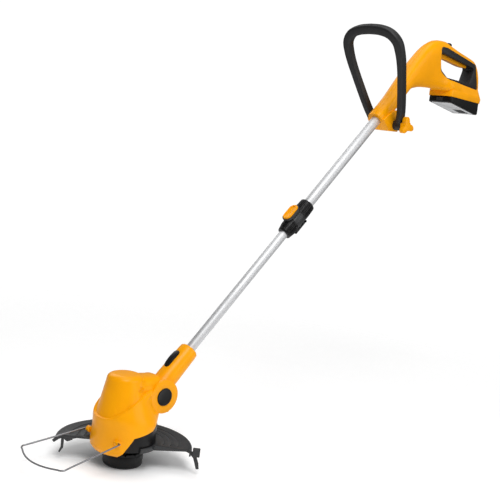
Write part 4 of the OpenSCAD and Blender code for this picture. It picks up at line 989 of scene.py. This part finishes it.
class TRIMMER_OT_studio(bpy.types.Operator):
    """Lay the floor, hang the soft lights and set the camera"""

    bl_idname = "trimmer.studio"
    bl_label = "Studio"

    def execute(self, context):
        studio = context.scene.trimmer_studio
        floor = new_piece("studio_floor", round_sheet(8.0, -0.0005, "studio_floor"))
        floor.data.materials.append(self.paper())
        self.add_camera(context.scene, studio)
        self.add_room(context.scene, studio)
        self.add_lights(context.scene, studio)
        context.scene.view_settings.view_transform = "Standard"
        return {"FINISHED"}

    def paper(self):
        """White paper that fades out far from the object. It glows with painted light of its own, and its glow
        drops beside the spool as a painted shadow.
        """
        material, tree, shader = blank_material("studio paper with painted glow and shadow")
        place = place_node(tree)
        distance = tree.nodes.new("ShaderNodeVectorMath")
        distance.operation = "LENGTH"
        feed(tree, place, distance.inputs[0])
        away = distance.outputs["Value"]
        shader.inputs["Base Color"].default_value = (0.92, 0.92, 0.92, 1)
        shader.inputs["Specular IOR Level"].default_value = 0.05
        # Painted light: the paper glows by itself, though it is no lamp.
        shader.inputs["Emission Color"].default_value = WHITE
        fibres = noise(tree, place, 40.0, 3.0)
        feed(tree, remap(tree, fibres, 0.3, 0.7, 0.7, 0.8), shader.inputs["Roughness"])
        feed(tree, remap(tree, away, 0.9, 2.2, 1.0, 0.0), shader.inputs["Alpha"])
        # Painted shadow: the glow falls from 0.22 to 0.06 close to the spool, which darkens the floor there.
        feed(tree, remap(tree, away, 0.045, 0.11, 0.06, 0.22), shader.inputs["Emission Strength"])
        return material

    def add_camera(self, scene, studio):
        """A camera at its place, turned by heading, pitch and roll."""
        heading, pitch, roll = studio.heading, studio.pitch, studio.roll
        ahead = Vector((-math.sin(heading), math.cos(heading), 0))
        forward = ahead * math.cos(pitch) - UP * math.sin(pitch)
        level = Vector((math.cos(heading), math.sin(heading), 0))
        upright = level.cross(forward)
        right = level * math.cos(roll) + upright * math.sin(roll)
        up = upright * math.cos(roll) - level * math.sin(roll)
        data = bpy.data.cameras.new("camera")
        data.lens = studio.lens
        data.clip_start = 0.05
        camera = bpy.data.objects.new("camera", data)
        turn = Matrix((right, up, -forward)).transposed().to_4x4()
        camera.matrix_world = Matrix.Translation(studio.camera_place) @ turn
        scene.collection.objects.link(camera)
        scene.camera = camera

    def add_room(self, scene, studio):
        """An even light all round, with a white backdrop that only the camera sees."""
        world = bpy.data.worlds.new("studio")
        world.use_nodes = True
        tree = world.node_tree
        room = tree.nodes["Background"]
        room.inputs["Color"].default_value = WHITE
        room.inputs["Strength"].default_value = studio.room_light
        backdrop = tree.nodes.new("ShaderNodeBackground")
        backdrop.inputs["Color"].default_value = WHITE
        backdrop.inputs["Strength"].default_value = 1.05
        seen = tree.nodes.new("ShaderNodeLightPath")
        mix = tree.nodes.new("ShaderNodeMixShader")
        feed(tree, seen.outputs["Is Camera Ray"], mix.inputs[0])
        feed(tree, room.outputs[0], mix.inputs[1])
        feed(tree, backdrop.outputs[0], mix.inputs[2])
        feed(tree, mix.outputs[0], tree.nodes["World Output"].inputs["Surface"])
        scene.world = world

    def add_lights(self, scene, studio):
        """Square soft lights round the object's middle, each with its share of the key light's power."""
        centre = Vector((0.4, 0, 0.5))
        for name, offset, size, share in (
                ("key", Vector((-1.3, -1.7, 2.5)), 1.6, 1.0),
                ("fill", Vector((1.2, -2.8, 1.0)), 2.4, 0.45),
                ("top", Vector((0.1, 0.1, 2.9)), 2.2, 0.45),
                ("rim", Vector((0.4, 2.6, 1.9)), 2.0, 0.3)):
            data = bpy.data.lights.new(name, "AREA")
            data.size = size
            data.energy = studio.key_power * share
            light = bpy.data.objects.new(name, data)
            light.location = centre + offset
            light.rotation_euler = (-offset).to_track_quat("-Z", "Y").to_euler()
            scene.collection.objects.link(light)


class TRIMMER_PT_panel(bpy.types.Panel):
    """Lists the steps that dress the trimmer"""

    bl_idname = "TRIMMER_PT_panel"
    bl_label = "Trimmer"
    bl_space_type = "VIEW_3D"
    bl_region_type = "UI"
    bl_category = "Trimmer"

    def draw(self, context):
        scene = context.scene
        for operator in OPERATORS:
            self.layout.operator(operator.bl_idname)
        for group in (scene.trimmer_sizes, scene.trimmer_colours, scene.trimmer_studio):
            for name in group.__annotations__:
                self.layout.prop(group, name)


OPERATORS = (TRIMMER_OT_finishes, TRIMMER_OT_head, TRIMMER_OT_line_head, TRIMMER_OT_edge_wire,
             TRIMMER_OT_shaft, TRIMMER_OT_rear_handle, TRIMMER_OT_front_loop, TRIMMER_OT_battery,
             TRIMMER_OT_springs, TRIMMER_OT_studio)
CLASSES = (TrimmerSizes, TrimmerColours, StudioSettings) + OPERATORS + (TRIMMER_PT_panel,)


def register():
    """Make the settings, the operators and the panel known."""
    for cls in CLASSES:
        bpy.utils.register_class(cls)
    bpy.types.Scene.trimmer_sizes = PointerProperty(type=TrimmerSizes)
    bpy.types.Scene.trimmer_colours = PointerProperty(type=TrimmerColours)
    bpy.types.Scene.trimmer_studio = PointerProperty(type=StudioSettings)


def unregister():
    """Take back what register() did."""
    del bpy.types.Scene.trimmer_studio
    del bpy.types.Scene.trimmer_colours
    del bpy.types.Scene.trimmer_sizes
    for cls in reversed(CLASSES):
        bpy.utils.unregister_class(cls)


def main():
    """Dress the frame."""
    register()
    bpy.ops.trimmer.finishes()
    bpy.ops.trimmer.head()
    bpy.ops.trimmer.line_head()
    bpy.ops.trimmer.edge_wire()
    bpy.ops.trimmer.shaft()
    bpy.ops.trimmer.rear_handle()
    bpy.ops.trimmer.front_loop()
    bpy.ops.trimmer.battery()
    bpy.ops.trimmer.springs()
    bpy.ops.trimmer.studio()


if __name__ == "__main__":
    main()
